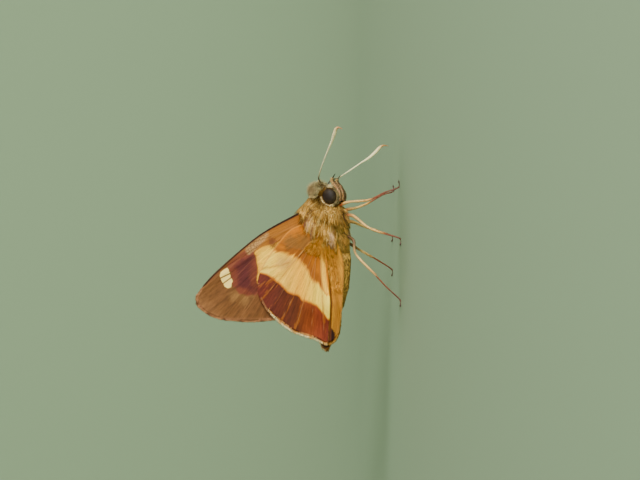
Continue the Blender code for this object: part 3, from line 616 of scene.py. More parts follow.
def hindwing(word, side, lobe, lead):
    """One hindwing: the fan on its plane, with ridges over the veins and a crease at the rear fold."""
    outline, x, z, fan = fan_surface(HIND_MARGIN, HIND_ROOT, lobe, lead, HIND_FRINGE, HIND_FRINGED)
    vein = vein_distance(x, z, outline, HIND_ROOT, HIND_VEINS, HIND_LEAVES, HIND_CELL)
    ridge = VEIN_RISE * np.exp(-(vein / VEIN_SIZE) ** 2)
    below = np.interp(-x, -FOLD_LINE[:, 0], FOLD_LINE[:, 1]) - z
    crease = -0.14 * np.exp(-((below - 0.2) / 0.16) ** 2) + 0.07 * np.exp(-((below + 0.08) / 0.14) ** 2)
    wave = 0.05 * np.sin(1.3 * fan[..., 0]) * smooth_step(fan[..., 1], 5.0, 13.0)
    fold = (crease - 0.35 * smooth_step(below, 0.0, 2.2)) * smooth_step(fan[..., 1], 1.0, 4.0)
    y = hind_plane(x, z) + HIND_STANDS_IN + ridge + wave + fold
    centre = HIND_ROOT.mean(axis=0)
    edge_u = fan[..., 0] / 50.0
    border = line_distance(x, z, outline[::3])
    past_start = beyond(x, z, BAND_START, centre)
    fields = {
        "place": np.stack([x, z, np.zeros_like(x)], axis=-1), "fan": fan, "vein": 0.08 - vein,
        "band_start": past_start, "band_end": beyond(x, z, BAND_END, centre), "height": (z - 9.0) / 13.0,
        "base_edge": 1.0 - np.abs(0.6 + past_start) - 0.5 * smooth_step(z, 15.5, 17.0),
        "bright_stripe": 0.35 - line_distance(x, z, BRIGHT_STRIPE),
        "grey_shade": inside_distance(x, z, GREY_SHADE), "olive_shade": inside_distance(x, z, OLIVE_SHADE),
        "dark_lobe": inside_distance(x, z, DARK_LOBE), "lobe_tip": -15.4 - x - FAR_OFF * (lobe == 0.0),
        "rear_field": below, "rear_glow": 0.9 - np.abs(below - 1.1),
        # Where the fold's painted shadow lies: in the groove of the rear fold, and just below the pale fold
        # line
        "fold_shade": 0.04 + 0.14 * smooth_step(-x, 2.5, 6.0) - np.abs(below - 0.16),
        "pale_fold": 0.05 - line_distance(x, z, PALE_FOLD),
        "painted_shadow_under_fold": 0.08 - line_distance(x + 0.13, z + 0.1, PALE_FOLD),
        "costa": 0.2 - border - FAR_OFF * smooth_step(edge_u, 0.24, 0.28),
        "termen": (HIND_FRINGE + 0.15 - border - FAR_OFF * (1.0 - smooth_step(edge_u, 0.38, 0.42))
                   - FAR_OFF * smooth_step(edge_u, 0.6, 0.64)),
    }
    verts, faces, kinds = plate(x, z, y, side, MEMBRANE)
    made = build("hindwing_scales_" + word, verts, faces, [hind_under, hind_upper], kinds,
                 {key: both_faces(values) for key, values in fields.items()})
    settle(made, "hindwing_scales", "hindwing_" + word)
    return outline


hind_outlines = {
    "right": hindwing("right", -1.0, 0.0, 0.0),
    "left": hindwing("left", 1.0, LEFT_LOBE_LENGTH, LEFT_HIND_LEAD),
}


# The fringes
# Long narrow scales that stand out from the wing margins like a fine comb: brown on the forewing, cream
# on the hindwing. Each is a flat blade with a pointed tip.
FRINGE_SPACING = 0.09
FRINGE_WIDTH = 0.13
FRINGE_ROOT_DEPTH = 0.15
PATCH_RADIUS = 0.0015
RANDOM_SEED = 11
chance = np.random.default_rng(RANDOM_SEED)


def tufts_from(rings, tips, stops):
    """Closed tufts from rings of three points: two triangles a side between rings, one up to the tip."""
    verts = np.concatenate([rings, tips[:, None]], axis=1)
    count, per = verts.shape[:2]
    sides = [(a, a - a % 3 + (a + 1) % 3) for a in range(per - 1)]
    tris = [(0, 1, 2)]
    for a, b in sides[:-3]:
        tris += [(a, a + 3, b), (b, a + 3, b + 3)]
    tris += [(a, per - 1, b) for a, b in sides[-3:]]
    faces = (np.arange(count)[:, None, None] * per + np.array(tris)[None]).reshape(-1, 3)
    return verts.reshape(-1, 3), [faces], stops


def blades(roots, ways, outs, lengths, widths, lift, droop=0.0, stops=(0.0, 0.4, 0.75)):
    """Flat tapered tufts with a three-cornered section, one for each root, closed at both ends.

    The middle of each runs root + way times s + out times (lift s - droop s squared), all times its
    length, and its width falls off to a point at s = 1.
    """
    ways = unit(ways)
    across = unit(np.cross(ways, outs))
    outs = np.cross(across, ways)
    lengths = lengths[:, None]
    widths = np.broadcast_to(widths, len(roots))[:, None]
    rings = []
    for s in stops:
        middle = roots + lengths * (ways * s + outs * (lift * s - droop * s * s))
        half = 0.5 * widths * math.sqrt(1.0 - s * s) * (0.75 if s == 0.0 else 1.0)
        rings += [middle + across * half, middle + outs * half * 0.55, middle - across * half]
    return tufts_from(np.stack(rings, axis=1), roots + lengths * (ways + outs * (lift - droop)), stops)


def coat(name, slot, material, tufts, roots, patch, rise=(0.0, 1.0), **fields):
    """One piece of coat: each point of a tuft carries its root, its height and the tuft's own fields.

    A tuft's texture place is a small fan of points 0.003 across, at its root's place on the skin's unwrap.
    """
    verts, faces, stops = tufts
    height = np.append(np.repeat(stops, 3), 1.0)
    per = len(height)
    stored = {
        "root": np.repeat(roots, per, axis=0),
        "rise": np.tile(rise[0] + (rise[1] - rise[0]) * height, len(roots)),
    }
    for key, values in fields.items():
        whole = np.size(values) == len(verts)
        stored[key] = values if whole else np.repeat(np.broadcast_to(values, len(roots)), per)
    turn = 2.4 * np.arange(per)
    fan = PATCH_RADIUS * np.stack([np.cos(turn), np.sin(turn)], axis=1)
    uvs = (np.stack(np.broadcast_arrays(*patch), axis=1)[:, None] + fan).reshape(-1, 2)
    settle(build(name, verts, faces, [material], None, stored, uvs), slot)


def fringe_finish(name, pale, dark, base):
    """Fringe scales: pale with darker ones at the veins' ends, and a brown line at their roots."""
    made, tree, shader = finish(name, 0.7, Specular_IOR_Level=0.2)
    root = add(tree, "ShaderNodeAttribute", attribute_name="root").outputs["Vector"]
    noise = add(tree, "ShaderNodeTexNoise", {"Vector": root, "Scale": 2.2, "Detail": 3.0}).outputs["Fac"]
    colour = lay_marks(
        tree, linear(pale), ("vein_end", dark, 0.25, 0.7, noise), ("low", base, 0.15, 0.2, noise))
    tree.links.new(shade_by(tree, colour, noise, 0.8, 1.2), shader.inputs["Base Color"])
    return made


def fringe(wing, word, side, kind, material, start, stop, length, inset):
    """A comb of blades along part of a wing's margin, rooted a little inside the membrane's edge."""
    outlines, root, veins, plane, stands = EDGES[wing]
    outline = outlines[word]
    total = np.sum(np.linalg.norm(np.diff(outline, axis=0), axis=1))
    u = np.arange(start, stop, FRINGE_SPACING / total)
    u = np.repeat(u, 2) + chance.uniform(-0.5, 0.5, 2 * len(u)) * FRINGE_SPACING / total
    edge = along_line(outline, u)
    inward = unit(root[0] + (root[1] - root[0]) * u[:, None] - edge)
    size = length * chance.uniform(0.7, 1.0, len(u))
    place = edge + inward * (length + FRINGE_ROOT_DEPTH)
    y = side * (plane(place[:, 0], place[:, 1]) + stands - inset + chance.uniform(-0.06, 0.06, len(u)))
    roots = np.stack([place[:, 0], y, place[:, 1]], axis=1)
    slant = chance.normal(0.0, 0.12, len(u))[:, None] * inward[:, ::-1] * [1.0, -1.0]
    ways = np.stack([slant[:, 0] - inward[:, 0], 0.0 * u, slant[:, 1] - inward[:, 1]], axis=1)
    tufts = blades(roots, ways, [0.0, side, 0.0], size + FRINGE_ROOT_DEPTH, FRINGE_WIDTH, 0.0)
    nearest = np.min(np.abs(u[:, None] - np.array(veins)[None]), axis=1) * total
    coat(wing + "_" + kind + "_" + word, wing + "_scales", material, tufts, roots, (0.05 + 0.9 * u, 0.5),
         vein_end=0.35 - nearest, low=np.tile([0.1] * 6 + [-0.4] * 4, len(u)))


EDGES = {
    "forewing": (fore_outlines, FORE_ROOT, FORE_VEINS, fore_plane, FORE_STANDS_OUT),
    "hindwing": (hind_outlines, HIND_ROOT, HIND_VEINS, hind_plane, HIND_STANDS_IN),
}
fore_fringe = fringe_finish("brown_fringe_scales", "#B47C4C", "#7A4A2C", "#94603A")
hind_fringe = fringe_finish("cream_fringe_scales", "#F8E2A0", "#E0AC5C", "#B87430")
rear_fringe = fringe_finish("ochre_rear_hairs", "#C08C38", "#7A4A1C", "#9A6424")
for word, side in SIDES:
    fringe("forewing", word, side, "fringe", fore_fringe, 0.38, 0.74, FORE_FRINGE, 0.0)
    fringe("hindwing", word, side, "fringe", hind_fringe, 0.385, 0.625, HIND_FRINGE, 0.0)
    fringe("hindwing", word, side, "front_fringe", fore_fringe, 0.29, 0.4, SHORT_FRINGE, 0.0)
    fringe("hindwing", word, side, "rear_hairs", rear_fringe, 0.615, 0.93, REAR_FRINGE, 0.3)


# The hair on the wing bases
# Fine ochre hair that lies along the base of each wing's outer face and behind the fold, and hides where
# the wing leaves the body.
BASE_HAIRS = 1500
BASE_HAIR_LENGTH = 1.3

base_hair, tree, shader = finish("ochre_wing_base_hair", 0.65, Specular_IOR_Level=0.2)
root = add(tree, "ShaderNodeAttribute", attribute_name="root").outputs["Vector"]
noise = add(tree, "ShaderNodeTexNoise", {"Vector": root, "Scale": 3.0, "Detail": 3.0}).outputs["Fac"]
colour = add(tree, "ShaderNodeValToRGB", {"Fac": noise}, stops=(
    (0.3, "#AC6A18"), (0.42, "#D08A22"), (0.5, "#EAA02A"), (0.58, "#D89028"), (0.7, "#FFCC5C")))
# Each hair is a little darker towards its root and lighter towards its tip: painted shade among the hairs and
# painted light on their tips
rise = add(tree, "ShaderNodeAttribute", attribute_name="rise").outputs["Fac"]
colour = shade_by(tree, colour.outputs["Color"], rise, 0.9, 1.1)
tree.links.new(colour, shader.inputs["Base Color"])

for word, side in SIDES:
    far = 0.25 + 0.75 * chance.uniform(0.0, 1.0, BASE_HAIRS) ** 1.5
    bearing = np.radians(chance.uniform(-14.0, 48.0, BASE_HAIRS))
    reach = far * (4.2 + 5.5 * smooth_step(-bearing, -0.1, 0.12))
    x = HIND_ROOT[:, 0].mean() - reach * np.cos(bearing)
    z = HIND_ROOT[:, 1].mean() + reach * np.sin(bearing) - 0.5
    roots = np.stack([x, side * (hind_plane(x, z) + HIND_STANDS_IN + 0.02), z], axis=1)
    ways = np.stack([-np.cos(bearing), 0.0 * x, np.sin(bearing)], axis=1)
    ways = ways + chance.normal(0.0, 0.06, (BASE_HAIRS, 3))
    size = BASE_HAIR_LENGTH * chance.uniform(0.5, 1.0, BASE_HAIRS)
    wide = chance.uniform(0.04, 0.07, BASE_HAIRS)
    tufts = blades(roots, ways, [0.0, side, 0.0], size, wide, 0.06, 0.05, (0.0, 0.5))
    verts = tufts[0]
    verts[:, 1] = side * np.maximum(side * verts[:, 1], hind_plane(verts[:, 0], verts[:, 2]) + HIND_STANDS_IN)
    coat("wing_base_hair_" + word, "hindwing_scales", base_hair, tufts, roots,
         (0.03 + 0.94 * far, 0.5 + 0.4 * bearing), (0.3, 0.7))


# The skin of head, thorax and abdomen
# One skin over the whole body, inside the coat: the hard skull and the brush behind it, the stout
# thorax that carries legs and wings, and the tapering abdomen. It is brown cuticle, grown over by hair.
SKULL_CENTRE = (-0.25, 0.0, 0.35)
SKULL_SIZE = np.array([1.25, 1.45, 1.75])
CROWN_CENTRE = np.array([7.95, 0.0, 12.15])
CROWN_SIZE = np.array([1.35, 1.9, 1.65])
EYE_SIZE = np.array([1.1, 0.8, 1.2])
THORAX = np.array([
    [7.15, 11.3, 13.1, 0.5], [6.7, 10.0, 13.9, 0.75], [6.2, 9.1, 14.3, 0.9], [5.8, 8.5, 14.6, 1.25],
    [5.4, 7.9, 14.8, 1.8], [5.0, 7.5, 15.0, 2.25], [4.6, 7.4, 15.1, 2.5], [4.2, 7.3, 15.1, 2.55],
    [2.2, 7.2, 14.9, 2.55], [0.4, 7.1, 14.3, 2.5], [-0.9, 7.2, 13.2, 2.25],
    [-1.6, 7.2, 12.3, 1.9], [-2.1, 7.6, 11.3, 1.4],
])
ABDOMEN = np.array([
    [-0.9, 7.9, 10.6, 1.0], [-1.6, 7.1, 11.0, 1.6], [-2.4, 7.0, 11.3, 1.8], [-4.4, 7.1, 11.4, 1.8],
    [-6.6, 7.3, 11.2, 1.75], [-8.3, 7.8, 10.6, 1.4], [-9.2, 8.2, 10.0, 0.95], [-9.7, 8.7, 9.5, 0.45],
])
COAT_DEPTH = 0.3
SKIN_VOXEL = 0.00014
ABDOMEN_SEGMENTS = 8
BODY_RINGS = 60
BODY_SIDES = 48
RIM_RINGS = 56
RIM_SIDES = 12
RIM_RADIUS = 0.22
RIM_OUT = 0.1
RIM_DEPTH = 0.2
CHEEK_TURN = math.radians(190.0)
CHEEK_RISE = 0.17
BROW_TURN = math.radians(47.0)
BROW_RISE = 0.12


def section(stations, x):
    """Height of the middle, half height and half width of the body at x, straight between stations."""
    order = stations[np.argsort(stations[:, 0])]
    middle = np.interp(x, order[:, 0], 0.5 * (order[:, 1] + order[:, 2]))
    tall = np.interp(x, order[:, 0], 0.5 * (order[:, 2] - order[:, 1]))
    return middle, tall, np.interp(x, order[:, 0], order[:, 3])


def flank(x, z, wide):
    """Half width of the body where the wings press it in: under the forewing high up, the hindwing below."""
    under = 1.0 - smooth_step(z, 11.2, 11.9)
    beside = fore_plane(x, z) + (HIND_CLEARANCE - FORE_CLEARANCE) * under - 0.55
    return np.minimum(wide, beside + 6.0 * smooth_step(x, 4.7, 5.4))


def body_point(stations, x, turn, inset):
    """A point of the body's surface: an ellipse at each x, drawn in by inset, pressed in by the wings."""
    middle, tall, wide = section(stations, x)
    z = middle + np.maximum(tall - inset, 0.05) * np.sin(turn)
    y = np.maximum(wide - inset, 0.05) * np.cos(turn)
    widest = flank(x, z, 9.0) - 0.5 * inset
    return np.stack([x, np.clip(y, -widest, widest), z], axis=-1)


def body_facing(stations, x, turn, inset):
    """The outward direction of the body's surface, from two short steps along it."""
    along = body_point(stations, x - 0.05, turn, inset) - body_point(stations, x + 0.05, turn, inset)
    around = body_point(stations, x, turn + 0.03, inset) - body_point(stations, x, turn - 0.03, inset)
    return unit(np.cross(around, along))


def closed_grid(grid):
    """Faces of a grid of rings that close on themselves, with a pole at each end."""
    rings, sides = grid.shape[:2]
    here = np.arange(sides)
    there = (here + 1) % sides
    rows = np.arange(rings - 1)[:, None] * sides
    first, after = (rows + here).ravel(), (rows + there).ravel()
    quads = np.stack([first, after, after + sides, first + sides], axis=1)
    count = rings * sides
    start = np.stack([there, here, np.full(sides, count)], axis=1)
    end = np.stack([count - sides + here, count - sides + there, np.full(sides, count + 1)], axis=1)
    poles = np.stack([grid[0].mean(axis=0), grid[-1].mean(axis=0)])
    return np.vstack([grid.reshape(-1, 3), poles]), [quads, np.vstack([start, end])]


def ball(centre, axes, size, rings=28, sides=40):
    """An ellipsoid as rings about its third axis: centre + size times (sin p cos t, sin p sin t, cos p)."""
    polar = np.linspace(0.02, math.pi - 0.02, rings)[:, None]
    turn = np.linspace(0.0, 2.0 * math.pi, sides, endpoint=False)[None]
    local = np.stack([np.sin(polar) * np.cos(turn), np.sin(polar) * np.sin(turn),
                      np.cos(polar) + 0.0 * turn], axis=-1)
    return centre + (local * size) @ axes


def body_grid(stations, inset, steps=0):
    """Rings of body points from the front station to the rear one, each segment a little stepped."""
    along = np.linspace(0.0, 1.0, BODY_RINGS)
    x = np.interp(along, np.linspace(0.0, 1.0, len(stations)), stations[:, 0])
    turn = np.linspace(0.0, 2.0 * math.pi, BODY_SIDES, endpoint=False)
    groove = 0.07 * np.exp(-((np.mod(along * steps + 0.5, 1.0) - 0.5) / 0.12) ** 2) * (steps > 0)
    x = np.repeat(x[:, None], BODY_SIDES, axis=1)
    return body_point(stations, x, turn[None], inset + groove[:, None])


def head_point(forward, left, up):
    """A place given in the head's own directions."""
    return HEAD_CENTRE + np.stack([forward, left, up], axis=-1) @ HEAD_AXES


def rim_place(side, turn, around):
    """A point of the rim round an eye, a tube that swells at the cheek and the brow, and its facing there."""
    swell = CHEEK_RISE * smooth_step(np.cos(turn - CHEEK_TURN), 0.2, 0.9)
    swell = swell + BROW_RISE * smooth_step(np.cos(turn - BROW_TURN), 0.85, 1.0)
    thick = RIM_RADIUS + 0.8 * swell
    out = RIM_OUT + swell + thick * np.sin(around)
    place = head_point((EYE_SIZE[0] + out) * np.cos(turn),
                       side * (EYE_SPACING - RIM_DEPTH + thick * np.cos(around)),
                       (EYE_SIZE[2] + out) * np.sin(turn))
    outward = np.cos(turn)[..., None] * HEAD_AXES[0] + np.sin(turn)[..., None] * HEAD_AXES[2]
    facing = np.sin(around)[..., None] * outward + side * np.cos(around)[..., None] * HEAD_AXES[1]
    downhill = np.cos(around)[..., None] * outward - side * np.sin(around)[..., None] * HEAD_AXES[1]
    return place, facing, downhill


def eye_rim(side):
    """A raised rim close round one eye: a ring of small circles about the eye's own outline."""
    turn = np.linspace(0.0, 2.0 * math.pi, RIM_RINGS, endpoint=False)[:, None]
    around = np.linspace(0.0, 2.0 * math.pi, RIM_SIDES, endpoint=False)[None]
    grid = rim_place(side, turn + 0.0 * around, 0.5 * math.pi - around + 0.0 * turn)[0]
    here = np.arange(RIM_RINGS * RIM_SIDES).reshape(RIM_RINGS, RIM_SIDES)
    ahead = np.roll(here, -1, axis=0)
    corners = [here, ahead, np.roll(ahead, -1, axis=1), np.roll(here, -1, axis=1)]
    quads = np.stack([corner.ravel() for corner in corners], axis=1)
    return grid.reshape(-1, 3), [quads if side > 0.0 else quads[:, ::-1]]


cuticle, tree, shader = finish("brown_cuticle", 0.7, Specular_IOR_Level=0.15)
place = add(tree, "ShaderNodeTexCoord").outputs["Object"]
noise = add(tree, "ShaderNodeTexNoise", {"Vector": place, "Scale": 2600.0, "Detail": 3.0}).outputs["Fac"]
colour = add(tree, "ShaderNodeValToRGB", {"Fac": noise}, stops=((0.35, "#4A3214"), (0.65, "#8A6224")))
tree.links.new(colour.outputs["Color"], shader.inputs["Base Color"])
bump = add(tree, "ShaderNodeBump", {"Height": noise, "Strength": 0.5, "Distance": 0.00008})
tree.links.new(bump.outputs[0], shader.inputs["Normal"])

forms = [
    closed_grid(body_grid(THORAX, COAT_DEPTH)),
    closed_grid(body_grid(ABDOMEN, 0.6 * COAT_DEPTH, ABDOMEN_SEGMENTS)),
    closed_grid(ball(head_point(*np.array(SKULL_CENTRE)), HEAD_AXES, SKULL_SIZE - 0.15)),
    closed_grid(ball(CROWN_CENTRE, np.eye(3), CROWN_SIZE - COAT_DEPTH)),
    eye_rim(-1.0),
    eye_rim(1.0),
]
starts = np.cumsum([0] + [len(form[0]) for form in forms[:-1]])
parts = [faces + start for form, start in zip(forms, starts) for faces in form[1]]
parts = sorted(parts, key=lambda faces: -faces.shape[1])
rough_body = build("rough_body", np.vstack([form[0] for form in forms]), parts, [])
step = rough_body.modifiers.new("one_skin", "REMESH")
step.mode = "VOXEL"
step.voxel_size = SKIN_VOXEL
step = rough_body.modifiers.new("soften", "SMOOTH")
step.iterations = 6
step.factor = 0.5
bpy.context.view_layer.update()
skin_mesh = bpy.data.meshes.new_from_object(rough_body.evaluated_get(bpy.context.evaluated_depsgraph_get()))
bpy.data.objects.remove(rough_body)
skin_mesh.name = "body_skin"
skin_mesh.materials.clear()
skin_mesh.materials.append(cuticle)
skin_mesh.polygons.foreach_set("use_smooth", np.ones(len(skin_mesh.polygons), dtype=bool))
skin = bpy.data.objects.new("body_skin", skin_mesh)
bpy.context.scene.collection.objects.link(skin)
settle(skin, "ochre_coat", "head", "thorax", "abdomen")


# The coat of the thorax
# Long golden hair that streams back from the neck and the eyes over the shoulders and the roots of the
# wings, shorter on the back and the belly. Each tuft is a few hairs lying together, as one thin blade.
HAIRS_EACH_SIDE = 12500
HIP_HAIRS = 1000
WAIST_HAIRS = 1300
HIPS = (5.4, 4.0, 3.4, 1.2, 0.5)
HAIR_LENGTH = 2.9
HAIR_WIDTH = 0.085
HAIR_ROOT = 0.03
EYE_CLEARANCE = 1.34
DARK_SPOTS = ((5.1, 9.1, 0.3), (4.7, 8.5, 0.3), (1.9, 8.9, 0.3), (1.7, 8.3, 0.25), (5.6, 9.4, 0.25))
PLUM_SPOTS = ((4.6, 13.2, 0.35), (2.9, 12.5, 0.3))
ROSY_SPOTS = ((1.8, 10.4, 0.4), (5.0, 8.2, 0.3), (4.0, 12.9, 0.25), (2.4, 7.7, 0.35))


def coat_finish(name, dark, middle, light, *marks):
    """Hair colours by tuft: a noise at the roots picks dark, middle or light; marks are laid over by field.

    Each hair is darker towards its root, where its neighbours shade it.
    """
    made, tree, shader = finish(name, 0.6, Specular_IOR_Level=0.25)
    root = add(tree, "ShaderNodeAttribute", attribute_name="root").outputs["Vector"]
    fine = add(tree, "ShaderNodeTexNoise", {"Vector": root, "Scale": 9.0, "Detail": 2.0}).outputs["Fac"]
    broad = add(tree, "ShaderNodeTexNoise", {"Vector": root, "Scale": 2.2, "Detail": 3.0}).outputs["Fac"]
    stops = ((0.35, dark), (0.5, middle), (0.65, light))
    colour = add(tree, "ShaderNodeValToRGB", {"Fac": fine}, stops=stops).outputs["Color"]
    colour = lay_marks(tree, colour, *((*mark, fine) for mark in marks))
    rise = add(tree, "ShaderNodeAttribute", attribute_name="rise").outputs["Fac"]
    colour = shade_by(tree, colour, rise, 0.5, 1.1, (0.0, 0.7))
    tree.links.new(shade_by(tree, colour, broad, 0.5, 1.45), shader.inputs["Base Color"])
    return made


def near(points, spots):
    """How deep points lie inside the nearest of some round spots, each given as x, z and radius."""
    return np.max([size - np.hypot(points[:, 0] - x, points[:, 2] - z) for x, z, size in spots], axis=0)


def wing_front(z):
    """How far forward the wing roots come at height z."""
    edge = np.array([HIND_MARGIN[-1], HIND_ROOT[1], HIND_ROOT[0], FORE_ROOT[1], FORE_ROOT[0], FORE_MARGIN[0]])
    return np.interp(z, edge[:, 1], edge[:, 0])


def strands(roots, starts, ends, outs, lengths, widths, hold, stops=(0.0, 0.4, 0.75)):
    """Long tufts that leave their roots along starts and bend over to run along ends, outside the body."""
    s = np.array(stops + (1.0,))[None, :, None]
    bend = starts[:, None] * s * (1.0 - 0.6 * s) + ends[:, None] * 0.6 * s * s
    middle = hold(roots[:, None] + lengths[:, None, None] * bend)
    ways = unit(np.gradient(middle, axis=1))
    across = unit(np.cross(ways, outs[:, None]))
    half = 0.5 * widths[:, None, None] * np.sqrt(np.clip(1.0 - s * s, 0.0, 1.0))
    up = np.cross(across, ways)
    rings = np.stack([middle + across * half, middle + up * half * 0.5, middle - across * half], axis=2)
    return tufts_from(rings[:, :-1].reshape(len(roots), -1, 3), middle[:, -1], stops)


def thorax_hair(word, side):
    """The hair of one side: roots spread evenly over the flank, combed back, longest on the shoulder."""
    mirror = np.array([1.0, side, 1.0])
    turn = chance.uniform(-0.5 * math.pi, 0.5 * math.pi, HAIRS_EACH_SIDE)
    x = 6.75 - 8.3 * chance.uniform(0.0, 1.0, HAIRS_EACH_SIDE) ** 1.3
    turn[:HIP_HAIRS] = chance.uniform(-1.25, -0.5, HIP_HAIRS)
    x[:HIP_HAIRS] = chance.choice(HIPS, HIP_HAIRS) + chance.normal(0.0, 0.3, HIP_HAIRS)
    turn[-WAIST_HAIRS:] = chance.uniform(-1.5, -0.2, WAIST_HAIRS)
    x[-WAIST_HAIRS:] = chance.uniform(-2.0, 0.6, WAIST_HAIRS)
    hip = (np.arange(HAIRS_EACH_SIDE) < HIP_HAIRS).astype(float)
    root = body_point(THORAX, x, turn, COAT_DEPTH + HAIR_ROOT) * mirror
    clear = np.linalg.norm(root - head_point(0.0, side * EYE_SPACING, 0.0), axis=1) > EYE_CLEARANCE
    keep = ((x > wing_front(root[:, 2]) - 0.2) | (root[:, 2] < 9.3)) & clear
    turn, x, root, hip = turn[keep], x[keep], root[keep], hip[keep][:, None]
    count = len(x)
    z = root[:, 2]
    outs = body_facing(THORAX, x, turn, COAT_DEPTH + HAIR_ROOT) * mirror
    back = smooth_step(z, 13.0, 14.2)
    size = HAIR_LENGTH * chance.uniform(0.5, 1.15, count) * (1.0 - 0.5 * back)
    size = size * (1.0 - 0.3 * smooth_step(-z, -9.0, -7.6)) * (0.65 + 0.35 * smooth_step(x, -1.0, 2.5))
    size = np.minimum(size, np.where(back > 0.4, np.maximum(x - 4.75, 0.35), 9.0)) * (1.0 - 0.4 * hip[:, 0])
    drift = (0.14 + 0.16 * smooth_step(x, 4.0, 6.0) * (z > 10.6)) * (z - 10.6)
    drift = drift + chance.normal(0.0, 0.08, count) + 0.22 * np.sin(3.4 * z + 2.0 * np.sin(1.9 * x))
    ends = np.stack([-np.ones(count), side * chance.normal(0.03, 0.05, count), drift], axis=1)
    hanging = np.array([-0.6, 0.2 * side, -0.75]) + [0.0, 0.3 * side, 0.0] * (x < 2.0)[:, None]
    ends = ends * (1.0 - hip) + hip * (hanging + chance.normal(0.0, 0.1, ends.shape))
    starts = unit(ends - outs * np.sum(outs * ends, axis=1)[:, None])
    starts = starts + outs * (chance.uniform(0.15, 0.4, count) + 0.35 * back)[:, None]

    def hold(middle):
        """Keeps hair outside the body's surface and, where it lies over a wing root, outside the wing."""
        px, py, pz = middle[..., 0], side * middle[..., 1], middle[..., 2]
        fore = smooth_step(px, -2.3, -1.3)
        centre, tall, wide = (behind + (front - behind) * fore for front, behind in zip(
            section(THORAX, np.clip(px, -2.1, 7.1)), section(ABDOMEN, np.clip(px, -9.7, -1.6))))
        within = np.sqrt((py / wide) ** 2 + ((pz - centre) / tall) ** 2) + 1e-6
        lift = np.maximum(0.91 / within, 1.0)
        lift = np.where((pz > 6.8) & (pz < 15.2) & (px > -6.0), np.minimum(lift, 1.5), 1.0)
        py = py * lift
        pz = centre + (pz - centre) * lift
        over = smooth_step(wing_front(pz) + 0.8 - px, 0.0, 0.9) * smooth_step(pz, 9.0, 9.6)
        over = over * (1.0 - smooth_step(pz, 15.2, 15.8))
        front = smooth_step(px, 2.9, 3.3)
        on_hind, on_fore = hind_plane(px, pz) + 0.1, fore_plane(px, pz) + FORE_STANDS_OUT + 0.14
        outside = (1.0 - front) * on_hind + front * on_fore
        return np.stack([px, side * np.maximum(py, outside * over), pz], axis=-1)

    tufts = strands(root, starts, ends, outs, size, HAIR_WIDTH * chance.uniform(0.6, 1.2, count), hold)
    coat("thorax_hair_" + word, "ochre_coat", thorax_coat, tufts, root,
         (0.03 + 0.94 * (x + 2.0) / 9.5, 0.03 + 0.94 * (turn / math.pi + 0.5)),
         belly=np.maximum(9.0 - z, 0.7 * (z - 14.3)), rosy=near(root, ROSY_SPOTS),
         dark=near(root, DARK_SPOTS), plum=near(root, PLUM_SPOTS))


# The belly mark gives the underside and the top of the back a lighter golden colour: partly their own, and on
# the underside also painted light, brighter than its hair really is, where it faces the floor and gets little
# light
thorax_coat = coat_finish(
    "golden_thorax_hair", "#8E5E1A", "#CC922E", "#FFD47A", ("belly", "#FFC45C", 0.7, 1.4),
    ("plum", "#7A4A38", 0.25, 0.6), ("rosy", "#E0B48C", 0.3, 0.5), ("dark", "#4A3216", 0.25, 0.9))
for word, side in SIDES:
    thorax_hair(word, side)


# The coat of the abdomen
# Short flat scales in rings, ochre above and mottled brown below, with a small brush at the tip.
ABDOMEN_TUFTS = 9000
SPOT_STEP = 1.05
abdomen_coat = coat_finish(
    "ochre_abdomen_scales", "#84581C", "#BC8A30", "#E0B45C", ("belly", "#C0943C", 0.4, 1.2),
    ("dark", "#4C341A", 0.14, 2.2))
turn = chance.uniform(0.0, 2.0 * math.pi, ABDOMEN_TUFTS)
x = -1.1 - 8.5 * chance.uniform(0.0, 1.0, ABDOMEN_TUFTS)
root = body_point(ABDOMEN, x, turn, 0.6 * COAT_DEPTH + 0.02)
z = root[:, 2]
outs = np.stack([-0.25 * smooth_step(-x, 7.5, 9.5), np.cos(turn), np.sin(turn)], axis=1)
ways = np.stack([-np.ones(len(x)), 0.15 * outs[:, 1], 0.15 * outs[:, 2]], axis=1)
size = chance.uniform(0.35, 0.65, len(x)) + 0.45 * smooth_step(-x, 8.2, 9.4)
size = np.minimum(size, np.maximum(x + 10.6, 0.3))
ringed = 0.5 + 0.5 * np.cos(2.0 * math.pi * x / SPOT_STEP)
tufts = blades(root, ways, unit(outs), size, chance.uniform(0.1, 0.17, len(x)), 0.22, 0.15, (0.0, 0.5))
coat("abdomen_scales", "abdomen_coat", abdomen_coat, tufts, root,
     (0.03 + 0.94 * (x + 9.7) / 8.4, 0.03 + 0.94 * turn / (2.0 * math.pi)), (0.35, 1.0),
     belly=0.6 * (8.6 - z), dark=0.1 * ringed + 0.2 * (8.6 - z) - 0.36)


# The eyes
# Two deep compound eyes, nearly black with a faint brown bloom, smooth to the eye with very fine facets.
# A ring of pale scales lies close round each of them.
FACET = 0.03
lens, tree, shader = finish("dark_compound_eye", 0.6, Specular_IOR_Level=0.25)
place = add(tree, "ShaderNodeTexCoord").outputs["Object"]
facets = add(tree, "ShaderNodeTexVoronoi", {"Vector": place, "Scale": 1000.0 / FACET / 1.6})
bump = add(tree, "ShaderNodeBump", {
    "Height": facets.outputs["Distance"], "Strength": 0.25, "Distance": 0.00001})
tree.links.new(bump.outputs[0], shader.inputs["Normal"])
bloom = add(tree, "ShaderNodeTexNoise", {"Vector": place, "Scale": 900.0, "Detail": 2.0}).outputs["Fac"]
colour = add(tree, "ShaderNodeValToRGB", {"Fac": bloom}, stops=((0.4, "#241A10"), (0.75, "#43351F")))
tree.links.new(colour.outputs["Color"], shader.inputs["Base Color"])

for word, side in SIDES:
    centre = head_point(*np.array([0.0, side * EYE_SPACING, 0.0]))
    verts, faces = closed_grid(ball(centre, HEAD_AXES, EYE_SIZE, rings=48, sides=72))
    settle(build("eye_lens_" + word, verts, faces, [lens]), "eye_lens", "eye_" + word)


